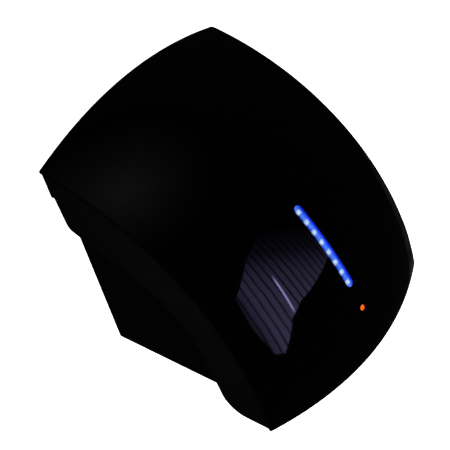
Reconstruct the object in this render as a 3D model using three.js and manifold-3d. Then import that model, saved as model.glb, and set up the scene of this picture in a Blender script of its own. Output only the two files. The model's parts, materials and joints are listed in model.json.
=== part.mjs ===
// Wall-mounted automatic warm-air hand dryer, in millimetres.
// +Z is up, the wall is the plane y = 0 and the front of the dryer faces -Y.
// The origin is the middle of the mounting face, on the wall.
import * as THREE from 'three';
import Module from 'manifold-3d';

const wasm = await Module();
wasm.setup();

// ---- Driving dimensions ----
const GAP = 0.3;
const HALF_WIDTH = 120;
const BOTTOM_Z = -128;

// Side view of the front face, as Bezier control points [y, z]: at the two side edges and on the centre line.
const EDGE_PROFILE = [[-3.5, 108], [-165, 69], [-200.5, -56], [-199.5, -127.6]];
const CENTRE_PROFILE = [[0, 128.6], [-163, 125.5], [-256, -69], [-228, -127.6]];
const ALONG = 16;
const ACROSS = 8;

const PANEL_THICK = 3;
const COVER_WALL = 3;
const COVER_DEPTH = PANEL_THICK + GAP;

// Rear outline of the cover's side walls, [y, z, corner radius].
const SIDE_OUTLINE = [
  [0, 150, 0], [0, 76.5, 0], [-4, 76.5, 0], [-7, 42, 12],
  [-129, -12, 105], [-148.2, BOTTOM_Z, 26], [-250, BOTTOM_Z, 0], [-250, 150, 0],
];
const RIM_ROUND = 3;
const LIP_X = 107.2;
const FLOOR_REAR_Y = -170.5;

// Planes well clear of the dryer, for tools that cut right through it.
const BEYOND = { wall: 40, floor: -150, side: 130, front: -300, top: 200 };
const THROUGH = 20;
const FLOOR_CUT = [-130, -120];
const COVER_SCREW = { x: 95, y: -177, hole: 2.2, sink: 4 };
const SCREW_HEAD = { z: [-127.9, -126.5], radius: 3.6, tip: -118.2 };
const COVER_RIB = { x: 60, half: 1.5, y: [-46, -6] };
const TAB_TOP = -122.2;
const FLANGE = [-124.7, -123.2];

const HOUSING_X = 106.7;
const HOUSING_WALL = 3;
const HOUSING_BOTTOM = -115;
const HOUSING_TOP = 85;
const BACK_WALL = [-5.3, -2.3];
const NOSE_RADIUS = 25.6;
const NOSE_CENTRE = [-170.2, -102];

// Side view of the rear housing, [y, z].
const HOUSING_SIDE = [
  [0, -115], [-149, -115], [-149, -112], [-146.5, -104],
  [-146.5, -62], [-118, 30], [-55, 85], [0, 85],
];

const PLATE = { halfX: 94, bottom: -100, top: 72, thick: 2 };
const KEYHOLES = [[-70, 46], [70, 46], [-78, -88], [28, -88]];
const KEYHOLE = { head: 5, slot: 2.4, rise: 12, clear: 8 };
const FIXINGS = [[-40, 62], [40, 62], [-24, -90], [88, -66]];
const FIXING_HOLE = { plate: 1.7, housing: 2.2 };
const CABLE_ENTRY = [62, -80];
const CABLE_HOLE = { plate: 15, housing: 10.2 };
const INTAKE = { x: -4, count: 9, pitch: 9, half: 2.75, front: -112, rear: -30 };
const FILTER = { cells: 4, thick: 2, rib: 0.9, margin: 5 };

const FAN = { y: -84, z: 10, radius: 45, left: -17, right: 17, blades: 16 };
const FAN_WHEEL = { ring: 7, plate: 2, hub: 8 };
const BLADE = { chord: 8, thick: 1.1, inset: 4.2, pitch: 0.6 };
const SCROLL = { halfX: 24, wall: 2, rMin: 50, rMax: 74, tongue: 330, exitZ: -50 };
const SCROLL_HOLES = { inlet: 33, lip: 2, shaft: 10 };
const SHAFT = { radius: 3, left: -6, right: 86 };
const BRACKET = {
  plate: [24.3, 26.3], front: -116, rear: -8.3, z: [-18, 42], foot: 54, screws: [[42, -8], [42, 32]],
};
const MOTOR = { left: 26.6, right: 90, radius: 33, wall: 3 };
const BEARING = { outer: 8, width: 5, starts: [30, 81.6] };
const STATOR = { span: [42, 66], outer: 29.7, bore: 17 };
const POLE = { neck: { half: 9, reach: [17, 28] }, shoe: { half: 16, reach: [6, 21], radius: 20 } };
const COMMUTATOR = { span: [71, 80], radius: 10 };
const BRUSH = { half: 2.9, wall: 0.8, reach: 25, holder: 28.5 };

const DUCT = { top: -50.3, bottom: -122.8, wall: 2, front: -207, rear: -172, halfX: 32 };
const HEATER = { from: 16, to: 66, halfX: 18.5, across: 10.5, turns: 7 };
const OUTLET = { halfX: 33.5, front: -212, gaps: 5 };
const OUTLET_REAR = -174.5;
const GRILLE = { corner: 5, rim: 3, barHalf: 1, top: -124 };

// The light bar runs down the centre line between two heights, and the indicator is below it.
const BAR = { topZ: 35.4, bottomZ: -41.9, width: 8, play: 0.5, flangeWide: 5, flangeLong: 4 };
const LED_COUNT = 8;
const LED = { radius: 2.4, top: -10 };
const LED_SCREWS = [51.5, -54];
const LED_SCREW = { shank: 0.9, head: 2.2, hole: 1.2, boss: 3.2 };
const BOARD_FRONT = 14.4;
const BOARD_THICK = 1.6;
const LED_BOARD = { half: 6.5, low: -74, high: 56 };
const INDICATOR = { z: -66, radius: 2.6, along: -70.1, play: 0.3, rear: -7.4 };
const SENSOR = { x: 66, y: -190, halfX: 15, halfY: 6, postX: 19, postRadius: 2.5, eyeX: 6, eyeRadius: 2.5 };
const SENSOR_BOARD_Z = -112;

const BOARD = { x0: -98, x1: -38, z0: -70, z1: 52, back: -14 };
const BOARD_POSTS = [[-94, 48], [-42, 48], [-94, -66], [-42, -66]];
const MAINS_PATH = [[50, -14, -60], [30, -11, -68], [0, -11, -70], [-28, -16, -62], [-44, -19, -56]];
const MOTOR_PATH = [[-35, -18, 30], [-26, -13, 52], [0, -9, 68], [40, -14, 64], [62, -42, 52], [82, -66, 44]];
const SWITCH = { x: -72, y: -62, axisZ: -113, tilt: 12, halfX: 13.4, halfY: 6.3, play: 0.4 };

// ---- Materials ----
const MATERIALS = {
  glossBlack: [0x050506, 0.06, 0.0],
  satinBlack: [0x1b1c1e, 0.38, 0.0],
  matteBlack: [0x0c0c0d, 0.8, 0.0],
  blueLens: [0x1438f0, 0.25, 0.0],
  amberLens: [0xe05a28, 0.3, 0.0],
  smokedLens: [0x14060a, 0.15, 0.0],
  steel: [0xa9adb1, 0.35, 1.0],
  zinc: [0xc3c8cc, 0.4, 1.0],
  aluminium: [0xc9ccd0, 0.35, 1.0],
  lamination: [0x55585c, 0.5, 0.9],
  copper: [0xb0663a, 0.35, 1.0],
  brass: [0xc6a24a, 0.35, 1.0],
  carbon: [0x232325, 0.7, 0.0],
  nichrome: [0x8f8a84, 0.4, 0.9],
  mica: [0xc7b594, 0.6, 0.0],
  rubber: [0x191919, 0.9, 0.0],
  nylon: [0xd9d6cc, 0.5, 0.0],
  whitePlastic: [0xe7e7e2, 0.5, 0.0],
  greyPlastic: [0x45484b, 0.55, 0.0],
  boardGreen: [0x1c5a34, 0.5, 0.0],
  filmYellow: [0xd9a520, 0.45, 0.0],
  relayBlue: [0x2c4c9c, 0.45, 0.0],
  wireRed: [0xa8201c, 0.5, 0.0],
};

// ---- Geometry helpers ----
function toSolid(geometry) {
  const plain = geometry.clone();
  plain.deleteAttribute('normal');
  plain.deleteAttribute('uv');
  const merged = mergeByPosition(plain);
  return new wasm.Manifold(new wasm.Mesh({
    numProp: 3,
    vertProperties: merged.vertices,
    triVerts: merged.triangles,
  }));
}

function mergeByPosition(geometry) {
  const position = geometry.getAttribute('position');
  const index = geometry.index;
  const count = index ? index.count : position.count;
  const known = new Map();
  const vertices = [];
  const triangles = [];
  for (let i = 0; i < count; i += 1) {
    const from = index ? index.getX(i) : i;
    const point = [position.getX(from), position.getY(from), position.getZ(from)];
    const key = point.map((value) => Math.round(value * 1e5)).join(' ');
    if (!known.has(key)) {
      known.set(key, vertices.length / 3);
      vertices.push(...point);
    }
    triangles.push(known.get(key));
  }
  const kept = [];
  for (let i = 0; i < triangles.length; i += 3) {
    const [a, b, c] = triangles.slice(i, i + 3);
    if (a !== b && b !== c && c !== a) kept.push(a, b, c);
  }
  return { vertices: new Float32Array(vertices), triangles: new Uint32Array(kept) };
}

function toGeometry(solid) {
  const mesh = solid.getMesh();
  const geometry = new THREE.BufferGeometry();
  const points = new Float32Array(mesh.numVert * 3);
  for (let i = 0; i < mesh.numVert; i += 1) {
    for (let k = 0; k < 3; k += 1) points[3 * i + k] = mesh.vertProperties[mesh.numProp * i + k];
  }
  geometry.setAttribute('position', new THREE.BufferAttribute(points, 3));
  geometry.setIndex(new THREE.BufferAttribute(new Uint32Array(mesh.triVerts), 1));
  return geometry;
}

function union(solids) {
  return solids.reduce((whole, next) => whole.add(next));
}

function cut(solid, tools) {
  return tools.reduce((whole, tool) => whole.subtract(tool), solid);
}

function box(x0, x1, y0, y1, z0, z1) {
  const geometry = new THREE.BoxGeometry(x1 - x0, y1 - y0, z1 - z0);
  geometry.translate((x0 + x1) / 2, (y0 + y1) / 2, (z0 + z1) / 2);
  return toSolid(geometry);
}

// A cylinder or cone of the given radii along one axis ('x', 'y' or 'z') from a to b.
function rod(axis, centre, a, b, radius, sides = 24, endRadius = radius) {
  const geometry = new THREE.CylinderGeometry(endRadius, radius, b - a, sides);
  if (axis === 'x') geometry.rotateZ(-Math.PI / 2);
  if (axis === 'z') geometry.rotateX(Math.PI / 2);
  const middle = (a + b) / 2;
  const [p, q] = centre;
  if (axis === 'x') geometry.translate(middle, p, q);
  if (axis === 'y') geometry.translate(p, middle, q);
  if (axis === 'z') geometry.translate(p, q, middle);
  return toSolid(geometry);
}

function tube(axis, centre, a, b, outer, inner, sides = 24) {
  return rod(axis, centre, a, b, outer, sides).subtract(rod(axis, centre, a - 1, b + 1, inner, sides));
}

function extruded(points, depth) {
  return new THREE.ExtrudeGeometry(shapeOf(points), { depth, bevelEnabled: false });
}

// A shape drawn in the side view, [y, z], extruded along X from a to b.
function alongX(points, a, b) {
  return toSolid(extruded(points, b - a).applyMatrix4(sideBasis()).translate(a, 0, 0));
}

function sideBasis() {
  return new THREE.Matrix4().makeBasis(
    new THREE.Vector3(0, 1, 0), new THREE.Vector3(0, 0, 1), new THREE.Vector3(1, 0, 0),
  );
}

// A shape drawn in the front view, [x, z], extruded along Y from a to b.
function alongY(points, a, b) {
  return toSolid(extruded(points, b - a).rotateX(Math.PI / 2).translate(0, b, 0));
}

// A shape drawn in the plan view, [x, y], extruded along Z from a to b.
function alongZ(points, a, b) {
  return toSolid(extruded(points, b - a).translate(0, 0, a));
}

function shapeOf(points) {
  return new THREE.Shape(points.map(([p, q]) => new THREE.Vector2(p, q)));
}

function lathe(axis, centre, profile, sides = 24) {
  const geometry = new THREE.LatheGeometry(profile.map(([r, h]) => new THREE.Vector2(r, h)), sides);
  if (axis === 'x') geometry.rotateZ(-Math.PI / 2).translate(0, centre[0], centre[1]);
  if (axis === 'y') geometry.translate(centre[0], 0, centre[1]);
  if (axis === 'z') geometry.rotateX(Math.PI / 2).translate(centre[0], centre[1], 0);
  return toSolid(geometry);
}

function rectangle(p0, p1, q0, q1) {
  return [[p0, q0], [p1, q0], [p1, q1], [p0, q1]];
}

// Replaces each corner [p, q, radius] of a closed outline by an arc of that radius.
function roundCorners(corners, steps = 8) {
  const points = [];
  corners.forEach(([p, q, radius], i) => {
    if (!radius) {
      points.push([p, q]);
      return;
    }
    const here = new THREE.Vector2(p, q);
    const back = unitTowards(here, corners[(i + corners.length - 1) % corners.length]);
    const ahead = unitTowards(here, corners[(i + 1) % corners.length]);
    const half = Math.acos(THREE.MathUtils.clamp(back.dot(ahead), -1, 1)) / 2;
    const start = here.clone().addScaledVector(back, radius / Math.tan(half));
    const end = here.clone().addScaledVector(ahead, radius / Math.tan(half));
    const centre = here.clone().addScaledVector(back.clone().add(ahead).normalize(), radius / Math.sin(half));
    for (let k = 0; k <= steps; k += 1) points.push(onArc(centre, start, end, radius, k / steps));
  });
  return points;
}

function unitTowards(from, [p, q]) {
  return new THREE.Vector2(p, q).sub(from).normalize();
}

function onArc(centre, start, end, radius, share) {
  const a = Math.atan2(start.y - centre.y, start.x - centre.x);
  let turn = Math.atan2(end.y - centre.y, end.x - centre.x) - a;
  if (turn > Math.PI) turn -= 2 * Math.PI;
  if (turn < -Math.PI) turn += 2 * Math.PI;
  return [centre.x + radius * Math.cos(a + share * turn), centre.y + radius * Math.sin(a + share * turn)];
}

// Moves every edge of a closed outline inwards by a distance; convex radii shrink and concave ones grow.
function inset(corners, distance) {
  const area = corners.reduce((sum, [p, q], i) => {
    const [p1, q1] = corners[(i + 1) % corners.length];
    return sum + p * q1 - p1 * q;
  }, 0);
  const side = area > 0 ? 1 : -1;
  return corners.map(([p, q, radius], i) => {
    const before = edgeNormal(corners[(i + corners.length - 1) % corners.length], [p, q], side);
    const after = edgeNormal([p, q], corners[(i + 1) % corners.length], side);
    const scale = distance / (1 + before[0] * after[0] + before[1] * after[1]);
    const turn = side * (before[0] * after[1] - before[1] * after[0]);
    const newRadius = radius ? Math.max(radius - distance * Math.sign(turn), 0.5) : 0;
    return [p + (before[0] + after[0]) * scale, q + (before[1] + after[1]) * scale, newRadius];
  });
}

function edgeNormal([p0, q0], [p1, q1], side) {
  const length = Math.hypot(p1 - p0, q1 - q0);
  return [(-side * (q1 - q0)) / length, (side * (p1 - p0)) / length];
}

// ---- The curved front face ----
function bezier(control, t) {
  const s = 1 - t;
  const weights = [s * s * s, 3 * s * s * t, 3 * s * t * t, t * t * t];
  return [0, 1].map((k) => control.reduce((sum, point, i) => sum + weights[i] * point[k], 0));
}

// A point of a profile, moved inwards from the face by a depth.
function profilePoint(control, t, depth) {
  const [y, z] = bezier(control, t);
  const [y0, z0] = bezier(control, Math.max(t - 0.002, 0));
  const [y1, z1] = bezier(control, Math.min(t + 0.002, 1));
  const length = Math.hypot(y1 - y0, z1 - z0);
  return [y - (depth * (z1 - z0)) / length, z + (depth * (y1 - y0)) / length];
}

function facePoint(u, t, depth) {
  const edge = profilePoint(EDGE_PROFILE, t, depth);
  const centre = profilePoint(CENTRE_PROFILE, t, depth);
  const share = u * u;
  return new THREE.Vector3(
    HALF_WIDTH * u,
    edge[0] * share + centre[0] * (1 - share),
    edge[1] * share + centre[1] * (1 - share),
  );
}

// Everything behind the face at a depth, back to a plane behind the wall and down past the floor.
function behindFace(depth, halfWidth) {
  const sections = [];
  for (let j = 0; j <= ACROSS; j += 1) {
    const u = ((2 * j) / ACROSS - 1) * (halfWidth / HALF_WIDTH);
    const loop = [];
    for (let i = 0; i <= ALONG; i += 1) loop.push(facePoint(u, i / ALONG, depth));
    const x = loop[0].x;
    loop.push(new THREE.Vector3(x, loop[ALONG].y, BEYOND.floor));
    loop.push(new THREE.Vector3(x, BEYOND.wall, BEYOND.floor));
    loop.push(new THREE.Vector3(x, BEYOND.wall, loop[0].z));
    sections.push(loop);
  }
  return skin(sections, 'x');
}

// A closed body through sections across 'x' or 'z', in rising order, each with the same number of points.
function skin(sections, axis) {
  const keys = axis === 'x' ? ['y', 'z'] : ['x', 'y'];
  const flatten = (section) => section.map((point) => new THREE.Vector2(point[keys[0]], point[keys[1]]));
  const loops = THREE.ShapeUtils.isClockWise(flatten(sections[0]))
    ? sections.map((section) => [...section].reverse())
    : sections;
  const count = loops[0].length;
  const triangles = [];
  for (let s = 0; s + 1 < loops.length; s += 1) {
    for (let i = 0; i < count; i += 1) {
      const a = s * count + i;
      const b = s * count + ((i + 1) % count);
      triangles.push(a, b, b + count, a, b + count, a + count);
    }
  }
  const last = (loops.length - 1) * count;
  THREE.ShapeUtils.triangulateShape(flatten(loops[0]), []).forEach(([a, b, c]) => triangles.push(a, c, b));
  THREE.ShapeUtils.triangulateShape(flatten(loops[loops.length - 1]), []).forEach(([a, b, c]) => {
    triangles.push(last + a, last + b, last + c);
  });
  const geometry = new THREE.BufferGeometry();
  const positions = loops.flat().flatMap((point) => point.toArray());
  geometry.setAttribute('position', new THREE.Float32BufferAttribute(positions, 3));
  geometry.setIndex(triangles);
  return toSolid(geometry);
}

// The side view of the cover's side walls, extruded to a half width, with a rounded rim.
function sideBody(halfWidth, distance, round) {
  const geometry = new THREE.ExtrudeGeometry(shapeOf(roundCorners(inset(SIDE_OUTLINE, distance), 6)), {
    depth: 2 * (halfWidth - round),
    bevelEnabled: round > 0,
    bevelThickness: round,
    bevelSize: round,
    bevelOffset: -round,
    bevelSegments: 1,
    curveSegments: 1,
  });
  return toSolid(geometry.applyMatrix4(sideBasis()).translate(-(halfWidth - round), 0, 0));
}

// ---- Places on the face ----
// A frame at a point [y, z] of the centre plane: local y runs up along a direction, local z points outwards.
function faceFrame([y, z], [upY, upZ]) {
  const length = Math.hypot(upY, upZ);
  const up = new THREE.Vector3(0, upY / length, upZ / length);
  const across = new THREE.Vector3(1, 0, 0);
  const out = new THREE.Vector3().crossVectors(across, up);
  return new THREE.Matrix4().makeBasis(across, up, out).setPosition(0, y, z);
}

// The point [y, z] of the centre line at a height.
function centreAt(z) {
  let low = 0;
  let high = 1;
  for (let i = 0; i < 40; i += 1) {
    const middle = (low + high) / 2;
    if (bezier(CENTRE_PROFILE, middle)[1] > z) low = middle;
    else high = middle;
  }
  return bezier(CENTRE_PROFILE, low);
}

function frameBetween(topZ, bottomZ) {
  const top = centreAt(topZ);
  const bottom = centreAt(bottomZ);
  const middle = [(top[0] + bottom[0]) / 2, (top[1] + bottom[1]) / 2];
  return faceFrame(middle, [top[0] - bottom[0], top[1] - bottom[1]]);
}

function barFrame() {
  return frameBetween(BAR.topZ, BAR.bottomZ);
}

function barLength() {
  const top = centreAt(BAR.topZ);
  const bottom = centreAt(BAR.bottomZ);
  return Math.hypot(top[0] - bottom[0], top[1] - bottom[1]);
}

function indicatorFrame() {
  return frameBetween(INDICATOR.z + 2, INDICATOR.z - 2);
}

// Extrudes a plan shape between two heights above the place given by a frame.
function onFace(frame, points, low, high) {
  return toSolid(extruded(points, high - low).translate(0, 0, low).applyMatrix4(frame));
}

function circle(x, y, radius, sides = 16) {
  const points = [];
  for (let i = 0; i < sides; i += 1) {
    const angle = (2 * Math.PI * (i + 0.5)) / sides;
    points.push([x + radius * Math.cos(angle), y + radius * Math.sin(angle)]);
  }
  return points;
}

function roundedBox(p0, p1, q0, q1, radius, steps = 4) {
  return roundCorners([[p0, q0, radius], [p1, q0, radius], [p1, q1, radius], [p0, q1, radius]], steps);
}

function stadium(width, length) {
  return roundedBox(-width / 2, width / 2, -length / 2, length / 2, width / 2 - 0.01, 5);
}

// ---- Cover ----
function makePanel() {
  const { side, front, top } = BEYOND;
  const layer = behindFace(0, HALF_WIDTH).subtract(behindFace(PANEL_THICK, HALF_WIDTH + 1));
  const kept = layer.intersect(box(-side, side, front, 0, BOTTOM_Z + GAP, top));
  return cut(kept, [barHole(THROUGH), indicatorHole(THROUGH)]);
}

function barHole(reach) {
  return onFace(barFrame(), stadium(BAR.width + BAR.play, barLength() + BAR.play), -reach, reach);
}

function indicatorHole(reach) {
  return onFace(indicatorFrame(), circle(0, 0, INDICATOR.radius + INDICATOR.play), -reach, reach);
}

function makeCover() {
  const outer = behindFace(COVER_DEPTH, HALF_WIDTH).intersect(sideBody(HALF_WIDTH, 0, RIM_ROUND));
  const inside = behindFace(COVER_DEPTH + COVER_WALL, HALF_WIDTH - COVER_WALL);
  const cavity = inside.intersect(sideBody(HALF_WIDTH - COVER_WALL, COVER_WALL, 0));
  const rear = inside.intersect(box(-LIP_X, LIP_X, FLOOR_REAR_Y, BEYOND.wall, BEYOND.floor, BEYOND.top));
  const shell = cut(outer, [cavity, rear]);
  const solid = union([shell, ...coverRibs(), ...boardBosses(), ...sensorPosts()]);
  const pilotDepth = [-BOARD_FRONT - 2, -8.5];
  return cut(solid, [
    barHole(BOARD_FRONT),
    indicatorHole(BOARD_FRONT),
    alongZ(outletOutline(0, GRILLE.corner), ...FLOOR_CUT),
    alongZ(sensorOutline(0, 0, 2), ...FLOOR_CUT),
    ...LED_SCREWS.map((at) => onFace(barFrame(), circle(0, at, LED_SCREW.hole, 8), ...pilotDepth)),
    ...[-1, 1].flatMap((side) => screwHole(side)),
  ]);
}

// The outlet's outline in plan, grown by a distance, with rounded corners.
function outletOutline(grow, corner) {
  const { halfX, front } = OUTLET;
  return roundedBox(-halfX - grow, halfX + grow, front - grow, OUTLET_REAR + grow, corner);
}

function sensorOutline(growX, growY, corner) {
  const { x, y, halfX, halfY } = SENSOR;
  return roundedBox(x - halfX - growX, x + halfX + growX, y - halfY - growY, y + halfY + growY, corner);
}

function screwHole(side) {
  const centre = [side * COVER_SCREW.x, COVER_SCREW.y];
  const sinkTop = BOTTOM_Z + 1.7;
  return [
    rod('z', centre, ...FLOOR_CUT, COVER_SCREW.hole, 16),
    rod('z', centre, FLOOR_CUT[0], sinkTop, COVER_SCREW.sink, 20),
  ];
}

// Two upright ribs that rest on the top of the rear housing.
function coverRibs() {
  const { x, half, y } = COVER_RIB;
  const within = behindFace(COVER_DEPTH + 1, HALF_WIDTH - COVER_WALL);
  const rib = (at) => box(at - half, at + half, ...y, HOUSING_TOP + GAP, BEYOND.top);
  return [-x, x].map((at) => rib(at).intersect(within));
}

// Two bosses behind the face that carry the light board.
function boardBosses() {
  const within = behindFace(COVER_DEPTH + 1, HALF_WIDTH - COVER_WALL);
  const boss = (at) => onFace(barFrame(), circle(0, at, LED_SCREW.boss, 14), -BOARD_FRONT + GAP, 3);
  return LED_SCREWS.map((at) => boss(at).intersect(within));
}

function sensorPosts() {
  const { x, y, postX, postRadius } = SENSOR;
  return [-postX, postX].map((dx) => rod('z', [x + dx, y], -126, SENSOR_BOARD_Z - GAP, postRadius, 12));
}

function makeLightBar() {
  const length = barLength();
  const cover = COVER_DEPTH + COVER_WALL;
  const half = HALF_WIDTH / 2;
  const stem = onFace(barFrame(), stadium(BAR.width, length), -THROUGH, THROUGH);
  const rim = stadium(BAR.width + BAR.flangeWide, length + BAR.flangeLong);
  const flange = onFace(barFrame(), rim, -THROUGH, THROUGH);
  return stem.intersect(behindFace(GAP / 2, half)).subtract(behindFace(cover + 0.7, half))
    .add(flange.intersect(behindFace(cover + GAP, half)).subtract(behindFace(cover + 1.7, half)));
}

function makeLightBoard() {
  const { half, low, high } = LED_BOARD;
  const frame = barFrame();
  const board = onFace(frame, rectangle(-half, half, low, high), -BOARD_FRONT - BOARD_THICK, -BOARD_FRONT);
  const pitch = barLength() / LED_COUNT;
  const root = -BOARD_FRONT - 0.5;
  const lights = [onFace(frame, circle(0, INDICATOR.along, 1.5, 8), root, -BOARD_FRONT + 0.4)];
  for (let i = 0; i < LED_COUNT; i += 1) {
    const along = (i - (LED_COUNT - 1) / 2) * pitch;
    lights.push(onFace(frame, circle(0, along, LED.radius, 8), root, LED.top));
  }
  const hole = LED_SCREW.hole + 0.1;
  const holes = LED_SCREWS.map((at) => onFace(frame, circle(0, at, hole, 8), -THROUGH, -10));
  return cut(union([board, ...lights]), holes);
}

function makeLightScrew(at) {
  const seat = -BOARD_FRONT - BOARD_THICK - GAP;
  const shank = onFace(barFrame(), circle(0, at, LED_SCREW.shank, 8), seat - 0.6, -9);
  return shank.add(onFace(barFrame(), circle(0, at, LED_SCREW.head, 12), seat - 1.3, seat));
}

function makeIndicator() {
  const { radius, rear } = INDICATOR;
  const stem = onFace(indicatorFrame(), circle(0, 0, radius, 14), rear, 0.2);
  return stem.add(onFace(indicatorFrame(), circle(0, 0, radius + 1.2, 14), rear, rear + 0.6));
}

function makeOutletGrille() {
  const { corner, rim, barHalf, top } = GRILLE;
  const body = alongZ(outletOutline(-GAP, corner - GAP), BOTTOM_Z, top);
  const flange = alongZ(outletOutline(rim, corner + 1), ...FLANGE);
  const mouth = alongZ(outletOutline(-rim, rim), ...FLOOR_CUT);
  const half = OUTLET.halfX - rim;
  const bars = [];
  for (let i = 1; i < OUTLET.gaps; i += 1) {
    const x = half * ((2 * i) / OUTLET.gaps - 1);
    bars.push(box(x - barHalf, x + barHalf, OUTLET.front + 2, OUTLET_REAR - 2, BOTTOM_Z + 0.5, FLANGE[1]));
  }
  return union([body.add(flange).subtract(mouth), ...bars]);
}

function makeSensorWindow() {
  const body = alongZ(sensorOutline(-GAP, -GAP, 1.7), BOTTOM_Z, FLANGE[0] + 0.2);
  return body.add(alongZ(sensorOutline(1, 1.5, 2), ...FLANGE));
}

function makeSensorBoard() {
  const { x, y, eyeX, eyeRadius } = SENSOR;
  const board = box(x - 22, x + 22, y - 8, y + 8, SENSOR_BOARD_Z, SENSOR_BOARD_Z + BOARD_THICK);
  const low = FLANGE[1] + 0.6;
  const eyes = [-eyeX, eyeX].map((dx) => rod('z', [x + dx, y], low, SENSOR_BOARD_Z + 0.5, eyeRadius, 12));
  return union([board, ...eyes]);
}

function makeCoverScrew(side) {
  const centre = [side * COVER_SCREW.x, COVER_SCREW.y];
  const { z, radius, tip } = SCREW_HEAD;
  const head = rod('z', centre, ...z, radius, 18);
  const drive = rod('z', centre, BOTTOM_Z, BOTTOM_Z + 0.8, 1.5, 6);
  return head.add(rod('z', centre, z[1] - 0.5, tip, 1.7, 10)).subtract(drive);
}

function makeCoverNut(side) {
  const centre = [side * COVER_SCREW.x, COVER_SCREW.y];
  const nut = rod('z', centre, TAB_TOP + GAP, TAB_TOP + 3.3, 3.8, 6);
  return nut.subtract(rod('z', centre, TAB_TOP, TAB_TOP + 4, 1.9, 12));
}

// ---- Wall side ----
function makeWallPlate() {
  const { halfX, bottom, top, thick } = PLATE;
  const sheet = alongY(roundedBox(-halfX, halfX, bottom, top, 10, 3), -thick, 0);
  return cut(sheet, [
    ...KEYHOLES.flatMap(([x, z]) => keyhole(x, z)),
    ...FIXINGS.map((at) => rod('y', at, -4, 2, FIXING_HOLE.plate, 8)),
    rod('y', CABLE_ENTRY, -4, 2, CABLE_HOLE.plate, 20),
  ]);
}

function keyhole(x, z) {
  return [
    rod('y', [x, z], -4, 2, KEYHOLE.head, 16),
    alongY(roundedBox(x - KEYHOLE.slot, x + KEYHOLE.slot, z, z + KEYHOLE.rise, KEYHOLE.slot - 0.1, 2), -4, 2),
  ];
}

function makeHousing() {
  const outer = alongX(HOUSING_SIDE, -HOUSING_X, HOUSING_X);
  const inner = HOUSING_X - HOUSING_WALL;
  const floor = HOUSING_BOTTOM + HOUSING_WALL;
  const hollow = box(-inner, inner, BEYOND.front, BACK_WALL[0], floor, HOUSING_TOP - HOUSING_WALL);
  const { halfX, bottom, top } = PLATE;
  const recess = box(-halfX - 2, halfX + 2, BACK_WALL[1], 5, bottom - 2, top + 2);
  const shell = cut(outer, [hollow, recess]);
  const solid = union([shell, makeNose(), ...coverTabs(), ...boardPosts()]);
  return cut(solid, [
    ...intakeSlots(),
    ...KEYHOLES.map((at) => keyholeWindow(at)),
    ...[...FIXINGS, ...BRACKET.screws].map((at) => rod('y', at, -10, 0, FIXING_HOLE.housing, 8)),
    rod('y', CABLE_ENTRY, -10, 0, CABLE_HOLE.housing, 16),
    switchBlock(SWITCH.halfX + SWITCH.play, SWITCH.halfY + GAP, -125, -105),
  ]);
}

// The window in the back wall that a wall screw's head passes.
function keyholeWindow([x, z]) {
  const { clear, rise } = KEYHOLE;
  return alongY(roundedBox(x - clear, x + clear, z - clear, z + rise + 4, 6, 2), -10, 0);
}

// A block around the switch's centre between two heights.
function switchBlock(halfX, halfY, low, high) {
  const { x, y } = SWITCH;
  return box(x - halfX, x + halfX, y - halfY, y + halfY, low, high);
}

// The rounded lower corner that carries the floor forward to the cover.
function makeNose() {
  const [y, z] = NOSE_CENTRE;
  const ring = tube('x', NOSE_CENTRE, -HOUSING_X, HOUSING_X, NOSE_RADIUS, NOSE_RADIUS - HOUSING_WALL, 40);
  return ring.intersect(box(-HOUSING_X, HOUSING_X, y, y + 40, z - 40, HOUSING_BOTTOM + HOUSING_WALL));
}

// Forked tabs that lie on the cover's floor; the cover screws pass through their open slots.
function coverTabs() {
  const [y] = NOSE_CENTRE;
  return [-1, 1].map((side) => {
    const x = side * COVER_SCREW.x;
    const tab = box(x - 6, x + 6, COVER_SCREW.y - 8, y + 10, TAB_TOP - 2.5, TAB_TOP);
    const slot = box(x - 2.5, x + 2.5, COVER_SCREW.y - 9, COVER_SCREW.y + 3, TAB_TOP - 4, TAB_TOP + 1);
    return tab.subtract(slot);
  });
}

function boardPosts() {
  return BOARD_POSTS.map((at) => rod('y', at, BOARD.back + GAP, BACK_WALL[0] + 0.5, 3, 12));
}

function intakeSlots() {
  const slots = [];
  for (let i = 0; i < INTAKE.count; i += 1) {
    const x = (i - (INTAKE.count - 1) / 2) * INTAKE.pitch + INTAKE.x;
    const { half, front, rear } = INTAKE;
    const outline = roundedBox(x - half, x + half, front, rear, half - 0.25, 2);
    slots.push(alongZ(outline, -125, -105));
  }
  return slots;
}

function makeFilter() {
  const { cells, thick, rib, margin } = FILTER;
  const half = (INTAKE.count * INTAKE.pitch) / 2 + margin - 1;
  const floor = HOUSING_BOTTOM + HOUSING_WALL + GAP;
  const front = INTAKE.front - margin;
  const rear = INTAKE.rear + margin;
  const plate = box(INTAKE.x - half, INTAKE.x + half, front, rear, floor, floor + thick);
  const windows = [];
  const step = (2 * half - 2) / cells;
  const run = (rear - front - 2) / cells;
  for (let i = 0; i < cells; i += 1) {
    for (let j = 0; j < cells; j += 1) {
      const x = INTAKE.x - half + 1 + i * step;
      const y = front + 1 + j * run;
      windows.push(box(x + rib, x + step - rib, y + rib, y + run - rib, floor - 1, floor + 2 * thick));
    }
  }
  return cut(plate, windows);
}

function makeHousingScrew([x, z]) {
  const front = BACK_WALL[0] - GAP;
  return rod('y', [x, z], front - 2, front, 3.6, 12).add(rod('y', [x, z], front - 0.5, -0.3, 1.5, 8));
}

function makeCableGland() {
  const bore = 4.2;
  const neck = 9.7;
  const rim = 13;
  const profile = [
    [bore, -0.4], [bore, -8], [rim, -8], [rim, -5.6], [neck, -5.6],
    [neck, -1.9], [rim, -1.9], [rim, -0.4], [bore, -0.4],
  ];
  return lathe('y', CABLE_ENTRY, profile, 16);
}

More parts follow.
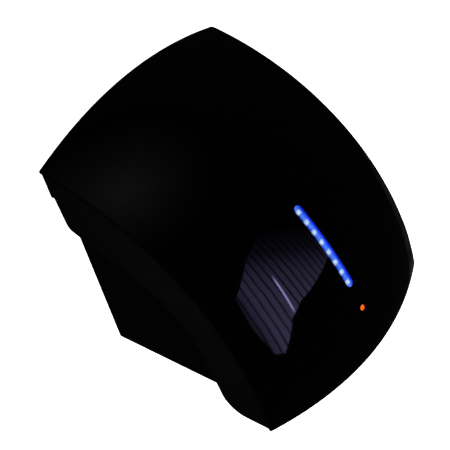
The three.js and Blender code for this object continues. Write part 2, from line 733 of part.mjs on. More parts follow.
// ---- Blower ----
function spiralPoints(grow) {
  const points = [];
  for (let angle = 0; angle <= SCROLL.tongue; angle += 22) {
    const radius = SCROLL.rMax - (SCROLL.rMax - SCROLL.rMin) * (angle / SCROLL.tongue) + grow;
    const turn = THREE.MathUtils.degToRad(angle);
    points.push([FAN.y - radius * Math.cos(turn), FAN.z + radius * Math.sin(turn)]);
  }
  return points;
}

function tongueY() {
  return FAN.y - SCROLL.rMin * Math.cos(THREE.MathUtils.degToRad(SCROLL.tongue));
}

function scrollBody(grow, a, b, low) {
  const channel = rectangle(FAN.y - SCROLL.rMax - grow, tongueY() + grow, low, FAN.z);
  return alongX(spiralPoints(grow), a, b).add(alongX(channel, a, b));
}

function scrollShell() {
  const { halfX, wall, exitZ } = SCROLL;
  const hollow = scrollBody(0, -halfX + wall, halfX - wall, exitZ - 5);
  return scrollBody(wall, -halfX, halfX, exitZ).subtract(hollow);
}

function everythingBetween(x0, x1) {
  const { front, wall, floor, top } = BEYOND;
  return box(x0, x1, front, wall, floor, top);
}

function makeScrollLeft() {
  const { halfX } = SCROLL;
  const { inlet, lip } = SCROLL_HOLES;
  const half = scrollShell().intersect(everythingBetween(-HALF_WIDTH, -GAP / 2));
  const centre = [FAN.y, FAN.z];
  const collar = tube('x', centre, -halfX, -halfX + 5, inlet + lip, inlet, 24);
  return half.add(collar).subtract(rod('x', centre, -halfX - THROUGH, FAN.left + 2, inlet, 24));
}

function makeScrollRight() {
  const half = scrollShell().intersect(everythingBetween(GAP / 2, HALF_WIDTH));
  return half.subtract(rod('x', [FAN.y, FAN.z], 10, 40, SCROLL_HOLES.shaft, 20));
}

function makeImpeller() {
  const centre = [FAN.y, FAN.z];
  const { left, right, radius } = FAN;
  const plate = rod('x', centre, right - FAN_WHEEL.plate, right, radius, 32);
  const ring = tube('x', centre, left, left + FAN_WHEEL.plate, radius, radius - FAN_WHEEL.ring, 32);
  const hub = rod('x', centre, 0, right, FAN_WHEEL.hub, 16);
  const blades = [];
  for (let i = 0; i < FAN.blades; i += 1) blades.push(blade((2 * Math.PI * i) / FAN.blades));
  return union([plate, ring, hub, ...blades]).subtract(shaftBore(-5, right + 5));
}

function shaftBore(a, b) {
  return rod('x', [FAN.y, FAN.z], a, b, SHAFT.radius + GAP / 2, 16);
}

function blade(angle) {
  const geometry = new THREE.BoxGeometry(FAN.right - FAN.left - FAN_WHEEL.plate, BLADE.chord, BLADE.thick);
  geometry.translate((FAN.left + FAN.right) / 2, 0, 0).rotateX(BLADE.pitch);
  geometry.translate(0, FAN.radius - BLADE.inset, 0).rotateX(angle).translate(0, FAN.y, FAN.z);
  return toSolid(geometry);
}

function makeBracket() {
  const [a, b] = BRACKET.plate;
  const { front, rear, z, foot: reach } = BRACKET;
  const plate = alongX(roundedBox(front, rear, ...z, 8), a, b);
  const square = alongX(rectangle(-30, rear, ...z), a, b);
  const foot = box(a, reach, rear - 2, rear, ...z);
  return cut(union([plate, square, foot]), [
    rod('x', [FAN.y, FAN.z], 20, 30, 12, 24),
    ...BRACKET.screws.map((at) => rod('y', at, -20, 0, 2.3, 12)),
  ]);
}

function makeRubberMount(at) {
  return tube('y', at, BRACKET.rear + GAP, BACK_WALL[0] - GAP, 7, 2.3, 18);
}

function makeBracketScrew([x, z]) {
  const face = BRACKET.rear - 2 - GAP;
  const head = rod('y', [x, z], face - 2.2, face, 4, 12);
  return head.add(rod('y', [x, z], face - 0.5, BACK_WALL[1] - GAP, 1.9, 8));
}

// ---- Motor ----
function makeMotorHousing() {
  const { left, right, radius, wall } = MOTOR;
  const centre = [FAN.y, FAN.z];
  const shell = tubeClosed(centre, left, right, radius, wall);
  const seat = BEARING.outer + 0.2;
  const bosses = [
    tube('x', centre, left + 1, left + wall + 5.5, seat + 2.1, seat, 16),
    tube('x', centre, right - wall - 5.5, right - 1, seat + 2.1, seat, 16),
  ];
  const vents = [];
  for (let i = 0; i < 3; i += 1) {
    const angle = (Math.PI * (2 * i + 1)) / 3;
    const at = [FAN.y + 21 * Math.cos(angle), FAN.z + 21 * Math.sin(angle)];
    vents.push(rod('x', at, left - 1, left + wall + 1, 6.5, 8));
    vents.push(rod('x', at, right - wall - 1, right + 1, 6.5, 8));
  }
  const shaftHole = rod('x', centre, left - 1, left + wall + 1, SHAFT.radius + 1.5, 16);
  return cut(union([shell, ...bosses]), [...vents, shaftHole]);
}

function tubeClosed(centre, left, right, radius, wall) {
  const hollow = rod('x', centre, left + wall, right - wall, radius - wall, 32);
  return rod('x', centre, left, right, radius, 32).subtract(hollow);
}

function makeStator() {
  const { y, z } = FAN;
  const [a, b] = STATOR.span;
  const { neck, shoe } = POLE;
  const ring = tube('x', [y, z], a, b, STATOR.outer, STATOR.outer - 5.5, 28);
  const poles = [-1, 1].map((side) => {
    const pole = box(a, b, y - neck.half, y + neck.half, ...spanFrom(z, side, neck.reach));
    const arc = box(a, b, y - shoe.half, y + shoe.half, ...spanFrom(z, side, shoe.reach));
    return pole.add(rod('x', [y, z], a, b, shoe.radius, 24).intersect(arc));
  });
  return union([ring, ...poles]).subtract(rod('x', [y, z], a - 1, b + 1, STATOR.bore, 24));
}

// The low and high ends of a span on one side of a centre.
function spanFrom(centre, side, [near, far]) {
  return [centre + side * near, centre + side * far].sort((p, q) => p - q);
}

function makeFieldCoil(side) {
  const { y, z } = FAN;
  const [a, b] = STATOR.span;
  const [low, high] = spanFrom(z, side, [20.4, 25]);
  const half = POLE.neck.half + GAP;
  const winding = box(a - 5, b + 5, y - 15, y + 15, low, high);
  const neck = box(a - GAP, b + GAP, y - half, y + half, low - 1, high + 1);
  return winding.subtract(neck).intersect(rod('x', [y, z], a - 6, b + 6, STATOR.outer - 6, 28));
}

function makeArmature() {
  const centre = [FAN.y, FAN.z];
  const [a, b] = STATOR.span;
  const core = rod('x', centre, a, b, STATOR.bore - 0.6, 24);
  const ends = rod('x', centre, a - 4.5, b + 4.5, 12.5, 16);
  const slots = [];
  for (let i = 0; i < 8; i += 1) {
    const geometry = new THREE.BoxGeometry(b - a + 2, 4, 2);
    geometry.translate((a + b) / 2, STATOR.bore - 1.5, 0).rotateX((Math.PI * i) / 4);
    slots.push(toSolid(geometry.translate(0, FAN.y, FAN.z)));
  }
  return cut(core, slots).add(ends).subtract(shaftBore(a - 10, b + 10));
}

function makeCommutator() {
  const centre = [FAN.y, FAN.z];
  const [a, b] = COMMUTATOR.span;
  const grooves = [];
  for (let i = 0; i < 8; i += 1) {
    const geometry = new THREE.BoxGeometry(b - a + 2, 1.2, 0.8);
    geometry.translate((a + b) / 2, COMMUTATOR.radius, 0).rotateX((Math.PI * (i + 0.5)) / 4);
    grooves.push(toSolid(geometry.translate(0, FAN.y, FAN.z)));
  }
  return cut(tube('x', centre, a, b, COMMUTATOR.radius, SHAFT.radius + GAP / 2, 24), grooves);
}

function makeBrushHolder(side) {
  const [a, b] = COMMUTATOR.span;
  const middle = (a + b) / 2;
  const [from, to] = spanFrom(FAN.y, side, [COMMUTATOR.radius + 2, BRUSH.holder]);
  const inner = BRUSH.half + GAP;
  const outer = inner + BRUSH.wall;
  const sleeve = box(middle - outer, middle + outer, from, to, FAN.z - outer, FAN.z + outer);
  return sleeve.subtract(box(middle - inner, middle + inner, from - 1, to + 1, FAN.z - inner, FAN.z + inner));
}

function makeBrush(side) {
  const [a, b] = COMMUTATOR.span;
  const middle = (a + b) / 2;
  const { half, reach } = BRUSH;
  const span = spanFrom(FAN.y, side, [COMMUTATOR.radius + GAP, reach]);
  return box(middle - half, middle + half, ...span, FAN.z - half, FAN.z + half);
}

function makeBearing(a) {
  return tube('x', [FAN.y, FAN.z], a, a + BEARING.width, BEARING.outer, SHAFT.radius + 0.1, 16);
}

// ---- Warm air duct ----
function ductSection(share, grow, z) {
  const front = THREE.MathUtils.lerp(FAN.y - SCROLL.rMax, DUCT.front, share) - grow;
  const rear = THREE.MathUtils.lerp(tongueY(), DUCT.rear, share) + grow;
  const half = THREE.MathUtils.lerp(SCROLL.halfX - SCROLL.wall, DUCT.halfX, share) + grow;
  return rectangle(-half, half, front, rear).map(([x, y]) => new THREE.Vector3(x, y, z));
}

function makeDuct() {
  const height = DUCT.top - DUCT.bottom;
  const outer = skin([ductSection(1, DUCT.wall, DUCT.bottom), ductSection(0, DUCT.wall, DUCT.top)], 'z');
  const beyond = 2 / height;
  const ends = [ductSection(1 + beyond, 0, DUCT.bottom - 2), ductSection(-beyond, 0, DUCT.top + 2)];
  const inner = skin(ends, 'z');
  return outer.subtract(inner);
}

// The heater's frame: local y runs across the duct and local z back up along it.
function heaterFrame() {
  const top = (FAN.y - SCROLL.rMax + tongueY()) / 2;
  const bottom = (DUCT.front + DUCT.rear) / 2;
  return faceFrame([top, DUCT.top], [bottom - top, DUCT.bottom - DUCT.top]);
}

function inHeater(x0, x1, along0, along1, across0, across1) {
  return onFace(heaterFrame(), rectangle(x0, x1, along0, along1), across0, across1);
}

function makeMica(upright) {
  const { from, to, halfX, across } = HEATER;
  const middle = (from + to) / 2;
  const half = 0.5;
  const slot = half + GAP;
  if (upright) {
    const sheet = inHeater(-half, half, from, to, -across, across);
    return sheet.subtract(inHeater(-1, 1, middle - GAP, to + 1, -slot, slot));
  }
  const sheet = inHeater(-halfX, halfX, from, to, -half, half);
  return sheet.subtract(inHeater(-slot, slot, from - 1, middle + GAP, -1, 1));
}

function makeHeaterCoil() {
  const { from, to, halfX, across, turns } = HEATER;
  const points = [];
  for (let i = 0; i <= 4 * turns; i += 1) {
    const angle = (Math.PI * i) / 2;
    const along = from + 4 + ((to - from - 8) * i) / (4 * turns);
    points.push(new THREE.Vector3((halfX + 1.8) * Math.cos(angle), along, (across + 1.8) * Math.sin(angle)));
  }
  const path = new THREE.CatmullRomCurve3(points, false, 'catmullrom', 0.12);
  const section = shapeOf(circle(0, 0, 0.55, 4));
  const options = { steps: 4 * turns, bevelEnabled: false, extrudePath: path };
  const geometry = new THREE.ExtrudeGeometry(section, options);
  return toSolid(geometry.applyMatrix4(heaterFrame()));
}

function makeCutout() {
  const centre = [-142, -34];
  const face = SCROLL.halfX + GAP;
  return rod('x', centre, face, face + 5.7, 8, 20).add(rod('x', centre, face + 4.7, face + 9.7, 5.5, 16));
}

// ---- Electrics ----
function makeBoard() {
  const { x0, x1, z0, z1, back } = BOARD;
  return box(x0, x1, back - BOARD_THICK, back, z0, z1);
}

// A block standing on the front of the control board.
function onBoard(x0, x1, z0, z1, height) {
  const foot = BOARD.back - BOARD_THICK - GAP;
  return box(x0, x1, foot - height, foot, z0, z1);
}

function makeTransformer() {
  const core = onBoard(-92, -52, -22, 12, 26);
  const winding = onBoard(-86, -58, -28, 18, 21).intersect(box(-86, -58, -40, -21, -28, 18));
  return core.add(winding);
}

function makeHeatsink() {
  const base = onBoard(-92, -50, 42, 45, 24);
  const fins = [];
  for (let i = 0; i < 7; i += 1) {
    const x = -92 + i * 6.75;
    fins.push(onBoard(x, x + 1.5, 33, 43, 24));
  }
  return union([base, ...fins]);
}

function makeTerminalBlock() {
  const face = BACK_WALL[0] - GAP;
  const block = box(44, 86, face - 17, face, -58, -42);
  const bites = [52, 65, 78].flatMap((x) => [
    rod('y', [x, -50], face - 18, face - 10, 3.2, 12),
    box(x - 3.5, x + 3.5, face - 12, face - 5, -60, -52),
  ]);
  return cut(block, bites);
}

function makeSmoothingCapacitor() {
  const foot = BOARD.back - BOARD_THICK - GAP;
  return rod('y', [-53, -48], foot - 20, foot, 6.5, 20);
}

function makeWires(points, radius) {
  const path = new THREE.CatmullRomCurve3(points.map((point) => new THREE.Vector3(...point)));
  const section = shapeOf(circle(0, 0, radius, 6));
  return toSolid(new THREE.ExtrudeGeometry(section, { steps: 12, bevelEnabled: false, extrudePath: path }));
}

function makeSwitchBody() {
  const { x, y } = SWITCH;
  const floor = HOUSING_BOTTOM;
  const bezel = switchBlock(SWITCH.halfX + 2.1, SWITCH.halfY + 1.7, floor - 1.8, floor - GAP);
  const body = switchBlock(SWITCH.halfX, SWITCH.halfY, floor - 1, floor + 21);
  const pocket = switchBlock(SWITCH.halfX - 1.5, SWITCH.halfY - 1.2, floor - 5, floor + 9);
  const lugs = [-8, 0, 8].map((dx) => box(x + dx - 0.4, x + dx + 0.4, y - 3, y + 3, floor + 20, floor + 29));
  return union([bezel, body, ...lugs]).subtract(pocket);
}

function makeRocker() {
  const shape = shapeOf([[-10.4, 3], [-10.4, -4.4], [0, -2.6], [10.4, -4.4], [10.4, 3]]);
  const geometry = new THREE.ExtrudeGeometry(shape, { depth: 9.6, bevelEnabled: false });
  geometry.rotateX(Math.PI / 2).translate(0, 4.8, 0);
  geometry.rotateY(THREE.MathUtils.degToRad(SWITCH.tilt)).translate(SWITCH.x, SWITCH.y, SWITCH.axisZ);
  return toSolid(geometry);
}

// ---- Assembly ----
const dryer = new THREE.Group();
dryer.name = 'hand_dryer';

function add(name, material, solid) {
  const [color, roughness, metalness] = MATERIALS[material];
  const look = new THREE.MeshStandardMaterial({ color, roughness, metalness });
  look.name = material;
  const mesh = new THREE.Mesh(toGeometry(solid), look);
  mesh.name = name;
  dryer.add(mesh);
}

add('front_cover', 'satinBlack', makeCover());
add('glossy_panel', 'glossBlack', makePanel());
add('light_bar', 'blueLens', makeLightBar());
add('led_board', 'boardGreen', makeLightBoard());
LED_SCREWS.forEach((at, i) => add(`led_screw_${i + 1}`, 'zinc', makeLightScrew(at)));
add('indicator_lens', 'amberLens', makeIndicator());
add('outlet_grille', 'satinBlack', makeOutletGrille());
add('sensor_window', 'smokedLens', makeSensorWindow());
add('sensor_board', 'boardGreen', makeSensorBoard());
[-1, 1].forEach((side, i) => add(`cover_screw_${i + 1}`, 'zinc', makeCoverScrew(side)));
[-1, 1].forEach((side, i) => add(`cover_nut_${i + 1}`, 'zinc', makeCoverNut(side)));

add('wall_plate', 'steel', makeWallPlate());
add('rear_housing', 'matteBlack', makeHousing());
FIXINGS.forEach((at, i) => add(`housing_screw_${i + 1}`, 'zinc', makeHousingScrew(at)));
add('intake_filter', 'greyPlastic', makeFilter());
add('cable_gland', 'rubber', makeCableGland());

add('scroll_left', 'greyPlastic', makeScrollLeft());
add('scroll_right', 'greyPlastic', makeScrollRight());
add('impeller', 'whitePlastic', makeImpeller());
add('motor_bracket', 'steel', makeBracket());
BRACKET.screws.forEach((at, i) => add(`rubber_mount_${i + 1}`, 'rubber', makeRubberMount(at)));
BRACKET.screws.forEach((at, i) => add(`bracket_screw_${i + 1}`, 'zinc', makeBracketScrew(at)));

add('motor_housing', 'steel', makeMotorHousing());
add('stator_core', 'lamination', makeStator());
[-1, 1].forEach((side, i) => add(`field_coil_${i + 1}`, 'copper', makeFieldCoil(side)));
add('armature', 'lamination', makeArmature());
add('commutator', 'copper', makeCommutator());
add('motor_shaft', 'steel', rod('x', [FAN.y, FAN.z], SHAFT.left, SHAFT.right, SHAFT.radius, 16));
[-1, 1].forEach((side, i) => add(`brush_holder_${i + 1}`, 'brass', makeBrushHolder(side)));
[-1, 1].forEach((side, i) => add(`carbon_brush_${i + 1}`, 'carbon', makeBrush(side)));
BEARING.starts.forEach((a, i) => add(`bearing_${i + 1}`, 'steel', makeBearing(a)));

add('air_duct', 'greyPlastic', makeDuct());
add('mica_frame_1', 'mica', makeMica(true));
add('mica_frame_2', 'mica', makeMica(false));
add('heater_coil', 'nichrome', makeHeaterCoil());
add('thermal_cutout', 'aluminium', makeCutout());

add('control_board', 'boardGreen', makeBoard());
add('transformer', 'copper', makeTransformer());
add('relay', 'relayBlue', onBoard(-96, -76, -60, -44, 16));
add('film_capacitor', 'filmYellow', onBoard(-70, -62, -62, -36, 14));
add('smoothing_capacitor', 'carbon', makeSmoothingCapacitor());
add('triac_heatsink', 'aluminium', makeHeatsink());
add('terminal_block', 'nylon', makeTerminalBlock());
add('mains_wires', 'wireRed', makeWires(MAINS_PATH, 1.6));
add('motor_wires', 'wireRed', makeWires(MOTOR_PATH, 1.4));
add('switch_body', 'greyPlastic', makeSwitchBody());
add('switch_rocker', 'greyPlastic', makeRocker());

export default dryer;
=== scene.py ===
"""Wall-mounted warm-air hand dryer: finish pieces, materials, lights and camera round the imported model."""
import json
import math

import bmesh
import bpy
import numpy as np
from mathutils import Matrix, Vector

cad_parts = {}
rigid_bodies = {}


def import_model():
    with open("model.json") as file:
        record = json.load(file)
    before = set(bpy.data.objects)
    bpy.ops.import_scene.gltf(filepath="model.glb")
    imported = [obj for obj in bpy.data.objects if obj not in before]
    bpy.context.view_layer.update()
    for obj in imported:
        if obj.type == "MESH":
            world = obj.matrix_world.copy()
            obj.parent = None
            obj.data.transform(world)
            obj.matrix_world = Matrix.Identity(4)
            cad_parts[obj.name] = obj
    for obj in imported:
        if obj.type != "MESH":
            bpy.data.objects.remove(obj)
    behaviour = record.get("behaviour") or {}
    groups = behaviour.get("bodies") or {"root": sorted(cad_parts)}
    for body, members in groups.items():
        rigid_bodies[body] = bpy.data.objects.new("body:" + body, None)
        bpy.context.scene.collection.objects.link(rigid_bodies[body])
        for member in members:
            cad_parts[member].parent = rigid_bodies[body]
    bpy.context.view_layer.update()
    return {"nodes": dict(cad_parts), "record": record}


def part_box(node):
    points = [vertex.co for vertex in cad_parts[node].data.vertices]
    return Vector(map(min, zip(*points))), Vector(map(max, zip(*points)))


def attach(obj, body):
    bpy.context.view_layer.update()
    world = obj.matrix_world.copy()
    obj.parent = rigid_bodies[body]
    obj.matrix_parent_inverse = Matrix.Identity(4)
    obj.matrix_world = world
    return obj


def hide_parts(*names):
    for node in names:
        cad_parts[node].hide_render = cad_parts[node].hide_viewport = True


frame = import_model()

NODES = frame["nodes"]
SLOT_OF = {part["node"]: part["material_slot"] for part in frame["record"]["subparts"]}
MM = 0.001

# ---- The curved front face, in mm, as in the CAD: side views [y, z] at the edges and the centre ----
HALF_WIDTH = 120.0
EDGE_PROFILE = np.array([[-3.5, 108], [-165, 69], [-200.5, -56], [-199.5, -127.6]])
CENTRE_PROFILE = np.array([[0, 128.6], [-163, 125.5], [-256, -69], [-228, -127.6]])
PANEL_THICK = 3.0
PANEL_BOTTOM = -127.6
COVER_DEPTH = 3.3
COVER_WALL = 3.0
RIM_ROUND = 4.5
SIDE_OUTLINE = [
    (0, 150, 0), (0, 76.5, 0), (-4, 76.5, 0), (-7, 42, 12),
    (-129, -12, 105), (-148.2, -128, 26), (-250, -128, 0), (-250, 150, 0),
]
LIP_X = 107.2
FLOOR_REAR_Y = -170.5
BAR_TOP, BAR_BOTTOM, BAR_WIDTH = 35.4, -41.9, 8.0
LAMP_COUNT = 8
INDICATOR_Z, INDICATOR_RADIUS = -66.0, 2.6
LAMP_SCREWS = (51.5, -54.0)
BOARD_FRONT = 14.4


def bezier(control, t):
    t = np.atleast_1d(np.asarray(t, float))[:, None]
    s = 1 - t
    return s**3 * control[0] + 3 * s * s * t * control[1] + 3 * s * t * t * control[2] + t**3 * control[3]


def profile(control, t, depth):
    """Points of a side profile moved inwards by a depth."""
    t = np.atleast_1d(np.asarray(t, float))
    along = bezier(control, np.minimum(t + 0.002, 1)) - bezier(control, np.maximum(t - 0.002, 0))
    along /= np.linalg.norm(along, axis=1)[:, None]
    return bezier(control, t) + depth * np.column_stack([-along[:, 1], along[:, 0]])


def face_rows(u, t, depth):
    """The face's points at one place across (u) for many along (t)."""
    share = u * u
    yz = profile(EDGE_PROFILE, t, depth) * share + profile(CENTRE_PROFILE, t, depth) * (1 - share)
    return np.column_stack([np.full(len(yz), HALF_WIDTH * u), yz])


# ---- Mesh helpers ----
def new_object(name, points, faces):
    """A closed mesh from points in millimetres, its faces turned outwards."""
    mesh = bpy.data.meshes.new(name)
    mesh.from_pydata([tuple(float(c) * MM for c in p) for p in points], [], [tuple(f) for f in faces])
    bm = bmesh.new()
    bm.from_mesh(mesh)
    bmesh.ops.recalc_face_normals(bm, faces=bm.faces)
    bm.to_mesh(mesh)
    bm.free()
    obj = bpy.data.objects.new(name, mesh)
    bpy.context.scene.collection.objects.link(obj)
    return obj


def applied(obj):
    """Turns the object's modifiers into its mesh."""
    graph = bpy.context.evaluated_depsgraph_get()
    mesh = bpy.data.meshes.new_from_object(obj.evaluated_get(graph))
    obj.modifiers.clear()
    obj.data = mesh
    return obj


def combine(obj, operation, *others):
    for other in others:
        step = obj.modifiers.new("combine", "BOOLEAN")
        step.operation = operation
        step.solver = "MANIFOLD"
        step.object = other
        applied(obj)
        bpy.data.objects.remove(other)
    return obj


def loft(name, loops):
    """A closed body through loops of the same number of points."""
    count = len(loops[0])
    faces = []
    for k in range(len(loops) - 1):
        for i in range(count):
            j = (i + 1) % count
            faces.append((k * count + i, k * count + j, (k + 1) * count + j, (k + 1) * count + i))
    last = (len(loops) - 1) * count
    faces.append(tuple(range(count)))
    faces.append(tuple(range(last, last + count)))
    return new_object(name, [p for loop in loops for p in loop], faces)


def smooth(obj, angle=32):
    obj.data.polygons.foreach_set("use_smooth", [True] * len(obj.data.polygons))
    obj.data.set_sharp_from_angle(angle=math.radians(angle))
    obj.data.update()
    return obj


def bevelled(obj, width, segments=3, angle=40):
    step = obj.modifiers.new("round", "BEVEL")
    step.width = width * MM
    step.segments = segments
    step.limit_method = "ANGLE"
    step.angle_limit = math.radians(angle)
    return applied(obj)


def block(name, x0, x1, y0, y1, z0, z1):
    loops = [[(x, y0, z0), (x, y1, z0), (x, y1, z1), (x, y0, z1)] for x in (x0, x1)]
    return loft(name, loops)


def circle(x, y, radius, sides=24):
    turns = [2 * math.pi * (i + 0.5) / sides for i in range(sides)]
    return [(x + radius * math.cos(a), y + radius * math.sin(a)) for a in turns]


def prism(name, outline, place, low, high):
    """Extrudes an outline [p, q] between two heights; place(p, q, h) puts a point in the frame."""
    return loft(name, [[place(p, q, h) for p, q in outline] for h in (low, high)])


def upright(p, q, h):
    return (p, q, h)


def rounded_corners(corners, steps=10):
    """Replaces each corner (p, q, radius) of a closed outline by an arc of that radius."""
    points = []
    for i, (p, q, radius) in enumerate(corners):
        if not radius:
            points.append((p, q))
            continue
        here = Vector((p, q))
        back = (Vector(corners[i - 1][:2]) - here).normalized()
        ahead = (Vector(corners[(i + 1) % len(corners)][:2]) - here).normalized()
        half = math.acos(max(-1, min(1, back.dot(ahead)))) / 2
        start = here + back * (radius / math.tan(half))
        end = here + ahead * (radius / math.tan(half))
        centre = here + (back + ahead).normalized() * (radius / math.sin(half))
        first = math.atan2(start.y - centre.y, start.x - centre.x)
        turn = math.atan2(end.y - centre.y, end.x - centre.x) - first
        turn = (turn + math.pi) % (2 * math.pi) - math.pi
        for k in range(steps + 1):
            a = first + turn * k / steps
            points.append((centre.x + radius * math.cos(a), centre.y + radius * math.sin(a)))
    return points


def inset(corners, distance):
    """Moves every edge of a closed outline inwards; convex radii shrink and concave ones grow."""
    count = len(corners)
    following = corners[1:] + corners[:1]
    area = sum(p * after[1] - after[0] * q for (p, q, _), after in zip(corners, following))
    side = 1 if area > 0 else -1

    def normal(a, b):
        run = Vector((b[0] - a[0], b[1] - a[1])).normalized()
        return Vector((-side * run.y, side * run.x))

    moved = []
    for i, (p, q, radius) in enumerate(corners):
        before = normal(corners[i - 1], corners[i])
        after = normal(corners[i], corners[(i + 1) % count])
        scale = distance / (1 + before.dot(after))
        turn = side * (before.x * after.y - before.y * after.x)
        new_radius = max(radius - distance * (1 if turn > 0 else -1), 0.5) if radius else 0
        moved.append((p + (before.x + after.x) * scale, q + (before.y + after.y) * scale, new_radius))
    return moved


def rounded_box(p0, p1, q0, q1, radius, steps=6):
    return rounded_corners([(p0, q0, radius), (p1, q0, radius), (p1, q1, radius), (p0, q1, radius)], steps)


def stadium(width, length):
    return rounded_box(-width / 2, width / 2, -length / 2, length / 2, width / 2 - 0.01, 10)


# ---- Bodies bounded by the face ----
def behind_face(name, depth, half_width, across=48, along=96):
    """Everything behind the face at a depth, back past the wall and down past the floor."""
    loops = []
    for j in range(across + 1):
        u = (2 * j / across - 1) * half_width / HALF_WIDTH
        rows = face_rows(u, np.linspace(0, 1, along + 1), depth)
        x = rows[0][0]
        loop = [tuple(p) for p in rows] + [(x, rows[-1][1], -150), (x, 40, -150), (x, 40, rows[0][2])]
        loops.append(loop)
    return loft(name, loops)


def side_body(name, half_width, distance, round_radius):
    """The side walls' outline as a solid across the whole width, with a rounded rim."""
    loops = []
    turns = np.linspace(math.pi / 2, 0, 7) if round_radius else [0]
    for a in turns:
        edge = inset(SIDE_OUTLINE, distance + round_radius * (1 - math.cos(a)))
        x = half_width - round_radius + round_radius * math.sin(a)
        loops.append((x, rounded_corners(edge)))
    ordered = [(-x, loop) for x, loop in loops] + [(x, loop) for x, loop in reversed(loops)]
    return loft(name, [[(x, y, z) for y, z in loop] for x, loop in ordered])


def centre_at(z):
    low, high = 0.0, 1.0
    for _ in range(40):
        middle = (low + high) / 2
        if bezier(CENTRE_PROFILE, middle)[0][1] > z:
            low = middle
        else:
            high = middle
    return bezier(CENTRE_PROFILE, low)[0]


def on_face(top_z, bottom_z):
    """A place function on the centre line between two heights, and their distance: q is up, h outwards."""
    top, bottom = centre_at(top_z), centre_at(bottom_z)
    origin = (top + bottom) / 2
    length = float(np.linalg.norm(top - bottom))
    up = (top - bottom) / length

    def place(p, q, h):
        return (p, origin[0] + up[0] * q - up[1] * h, origin[1] + up[1] * q + up[0] * h)

    return place, length


BAR_PLACE, BAR_LENGTH = on_face(BAR_TOP, BAR_BOTTOM)
INDICATOR_PLACE, _ = on_face(INDICATOR_Z + 2, INDICATOR_Z - 2)
LAMP_PITCH = BAR_LENGTH / LAMP_COUNT


def bar_hole():
    return prism("cut", stadium(BAR_WIDTH + 0.5, BAR_LENGTH + 0.5), BAR_PLACE, -20, 20)


def indicator_hole():
    return prism("cut", circle(0, 0, INDICATOR_RADIUS + 0.3, 32), INDICATOR_PLACE, -12, 12)


# ---- Front panel ----
def make_panel(across=120, along=150):
    """The glossy front: a crowned shell with softly rounded edges."""
    t = np.linspace(0, 1, along + 1)
    points = []
    for depth in (0, PANEL_THICK):
        for j in range(across + 1):
            rows = face_rows(2 * j / across - 1, t, depth)
            rows[0][1] = 0
            rows[-1][2] = PANEL_BOTTOM
            points += [tuple(p) for p in rows]
    wide, layer = along + 1, (across + 1) * (along + 1)
    faces = []
    for base in (0, layer):
        for j in range(across):
            for i in range(along):
                a = base + j * wide + i
                faces.append((a, a + 1, a + wide + 1, a + wide))
    ring = [j * wide for j in range(across + 1)]
    ring += [across * wide + i for i in range(1, along + 1)]
    ring += [j * wide + along for j in range(across - 1, -1, -1)]
    ring += [i for i in range(along - 1, 0, -1)]
    for a, b in zip(ring, ring[1:] + ring[:1]):
        faces.append((a, b, b + layer, a + layer))
    panel = bevelled(new_object("front_panel", points, faces), 0.8, 3, 60)
    combine(panel, "DIFFERENCE", bar_hole(), indicator_hole())
    return smooth(panel, 30)


# ---- Cover behind the panel ----
def make_cover():
    half = HALF_WIDTH
    inner = half - COVER_WALL
    deep = COVER_DEPTH + COVER_WALL
    cover = behind_face("side_cover", COVER_DEPTH, half)
    combine(cover, "INTERSECT", side_body("cut", half, 0, RIM_ROUND))
    cavity = combine(behind_face("cut", deep, inner), "INTERSECT", side_body("cut", inner, COVER_WALL, 0))
    within = block("cut", -LIP_X, LIP_X, FLOOR_REAR_Y, 40, -150, 160)
    rear = combine(behind_face("cut", deep, inner), "INTERSECT", within)
    combine(cover, "DIFFERENCE", cavity, rear)
    extras = [block("rib", x - 1.5, x + 1.5, -46, -6, 85.3, 150) for x in (-60, 60)]
    extras += [prism("boss", circle(0, at, 3.2), BAR_PLACE, -BOARD_FRONT + 0.3, 3) for at in LAMP_SCREWS]
    for extra in extras:
        limit = behind_face("cut", COVER_DEPTH + 1, inner, 24, 48)
        combine(cover, "UNION", combine(extra, "INTERSECT", limit))
    posts = [prism("post", circle(x, -190, 2.5, 16), upright, -126, -112.3) for x in (47, 85)]
    combine(cover, "UNION", *posts)
    cuts = [bar_hole(), indicator_hole()]
    cuts.append(prism("cut", rounded_box(-33.5, 33.5, -212, -174.5, 5), upright, -130, -120))
    cuts.append(prism("cut", rounded_box(51, 81, -196, -184, 2), upright, -130, -120))
    cuts += [prism("cut", circle(0, at, 1.2, 12), BAR_PLACE, -BOARD_FRONT - 2, -8.5) for at in LAMP_SCREWS]
    for x in (-95, 95):
        cuts.append(prism("cut", circle(x, -177, 2.2), upright, -130, -120))
        cuts.append(prism("cut", circle(x, -177, 4), upright, -130, -126.3))
    combine(cover, "DIFFERENCE", *cuts)
    return smooth(cover, 30)


# ---- Lamps ----
def make_lens():
    """The light bar: a thin diffuser cap with walls, and a flange behind the cover."""
    lens = prism("lens_bar", stadium(BAR_WIDTH, BAR_LENGTH), BAR_PLACE, -14, 14)
    combine(lens, "INTERSECT", behind_face("cut", 0.15, 60))
    combine(lens, "DIFFERENCE", behind_face("cut", 7, 60))
    bevelled(lens, 0.5, 3, 50)
    hollow = prism("cut", stadium(BAR_WIDTH - 1.6, BAR_LENGTH - 1.6), BAR_PLACE, -20, 14)
    combine(lens, "DIFFERENCE", combine(hollow, "INTERSECT", behind_face("cut", 1.2, 60)))
    flange = prism("flange", stadium(BAR_WIDTH + 5, BAR_LENGTH + 4), BAR_PLACE, -20, 14)
    combine(flange, "INTERSECT", behind_face("cut", 6.6, 60))
    combine(flange, "DIFFERENCE", behind_face("cut", 8, 60))
    window = stadium(BAR_WIDTH - 1.6, BAR_LENGTH - 1.6)
    combine(flange, "DIFFERENCE", prism("cut", window, BAR_PLACE, -20, 14))
    return smooth(combine(lens, "UNION", flange), 30)


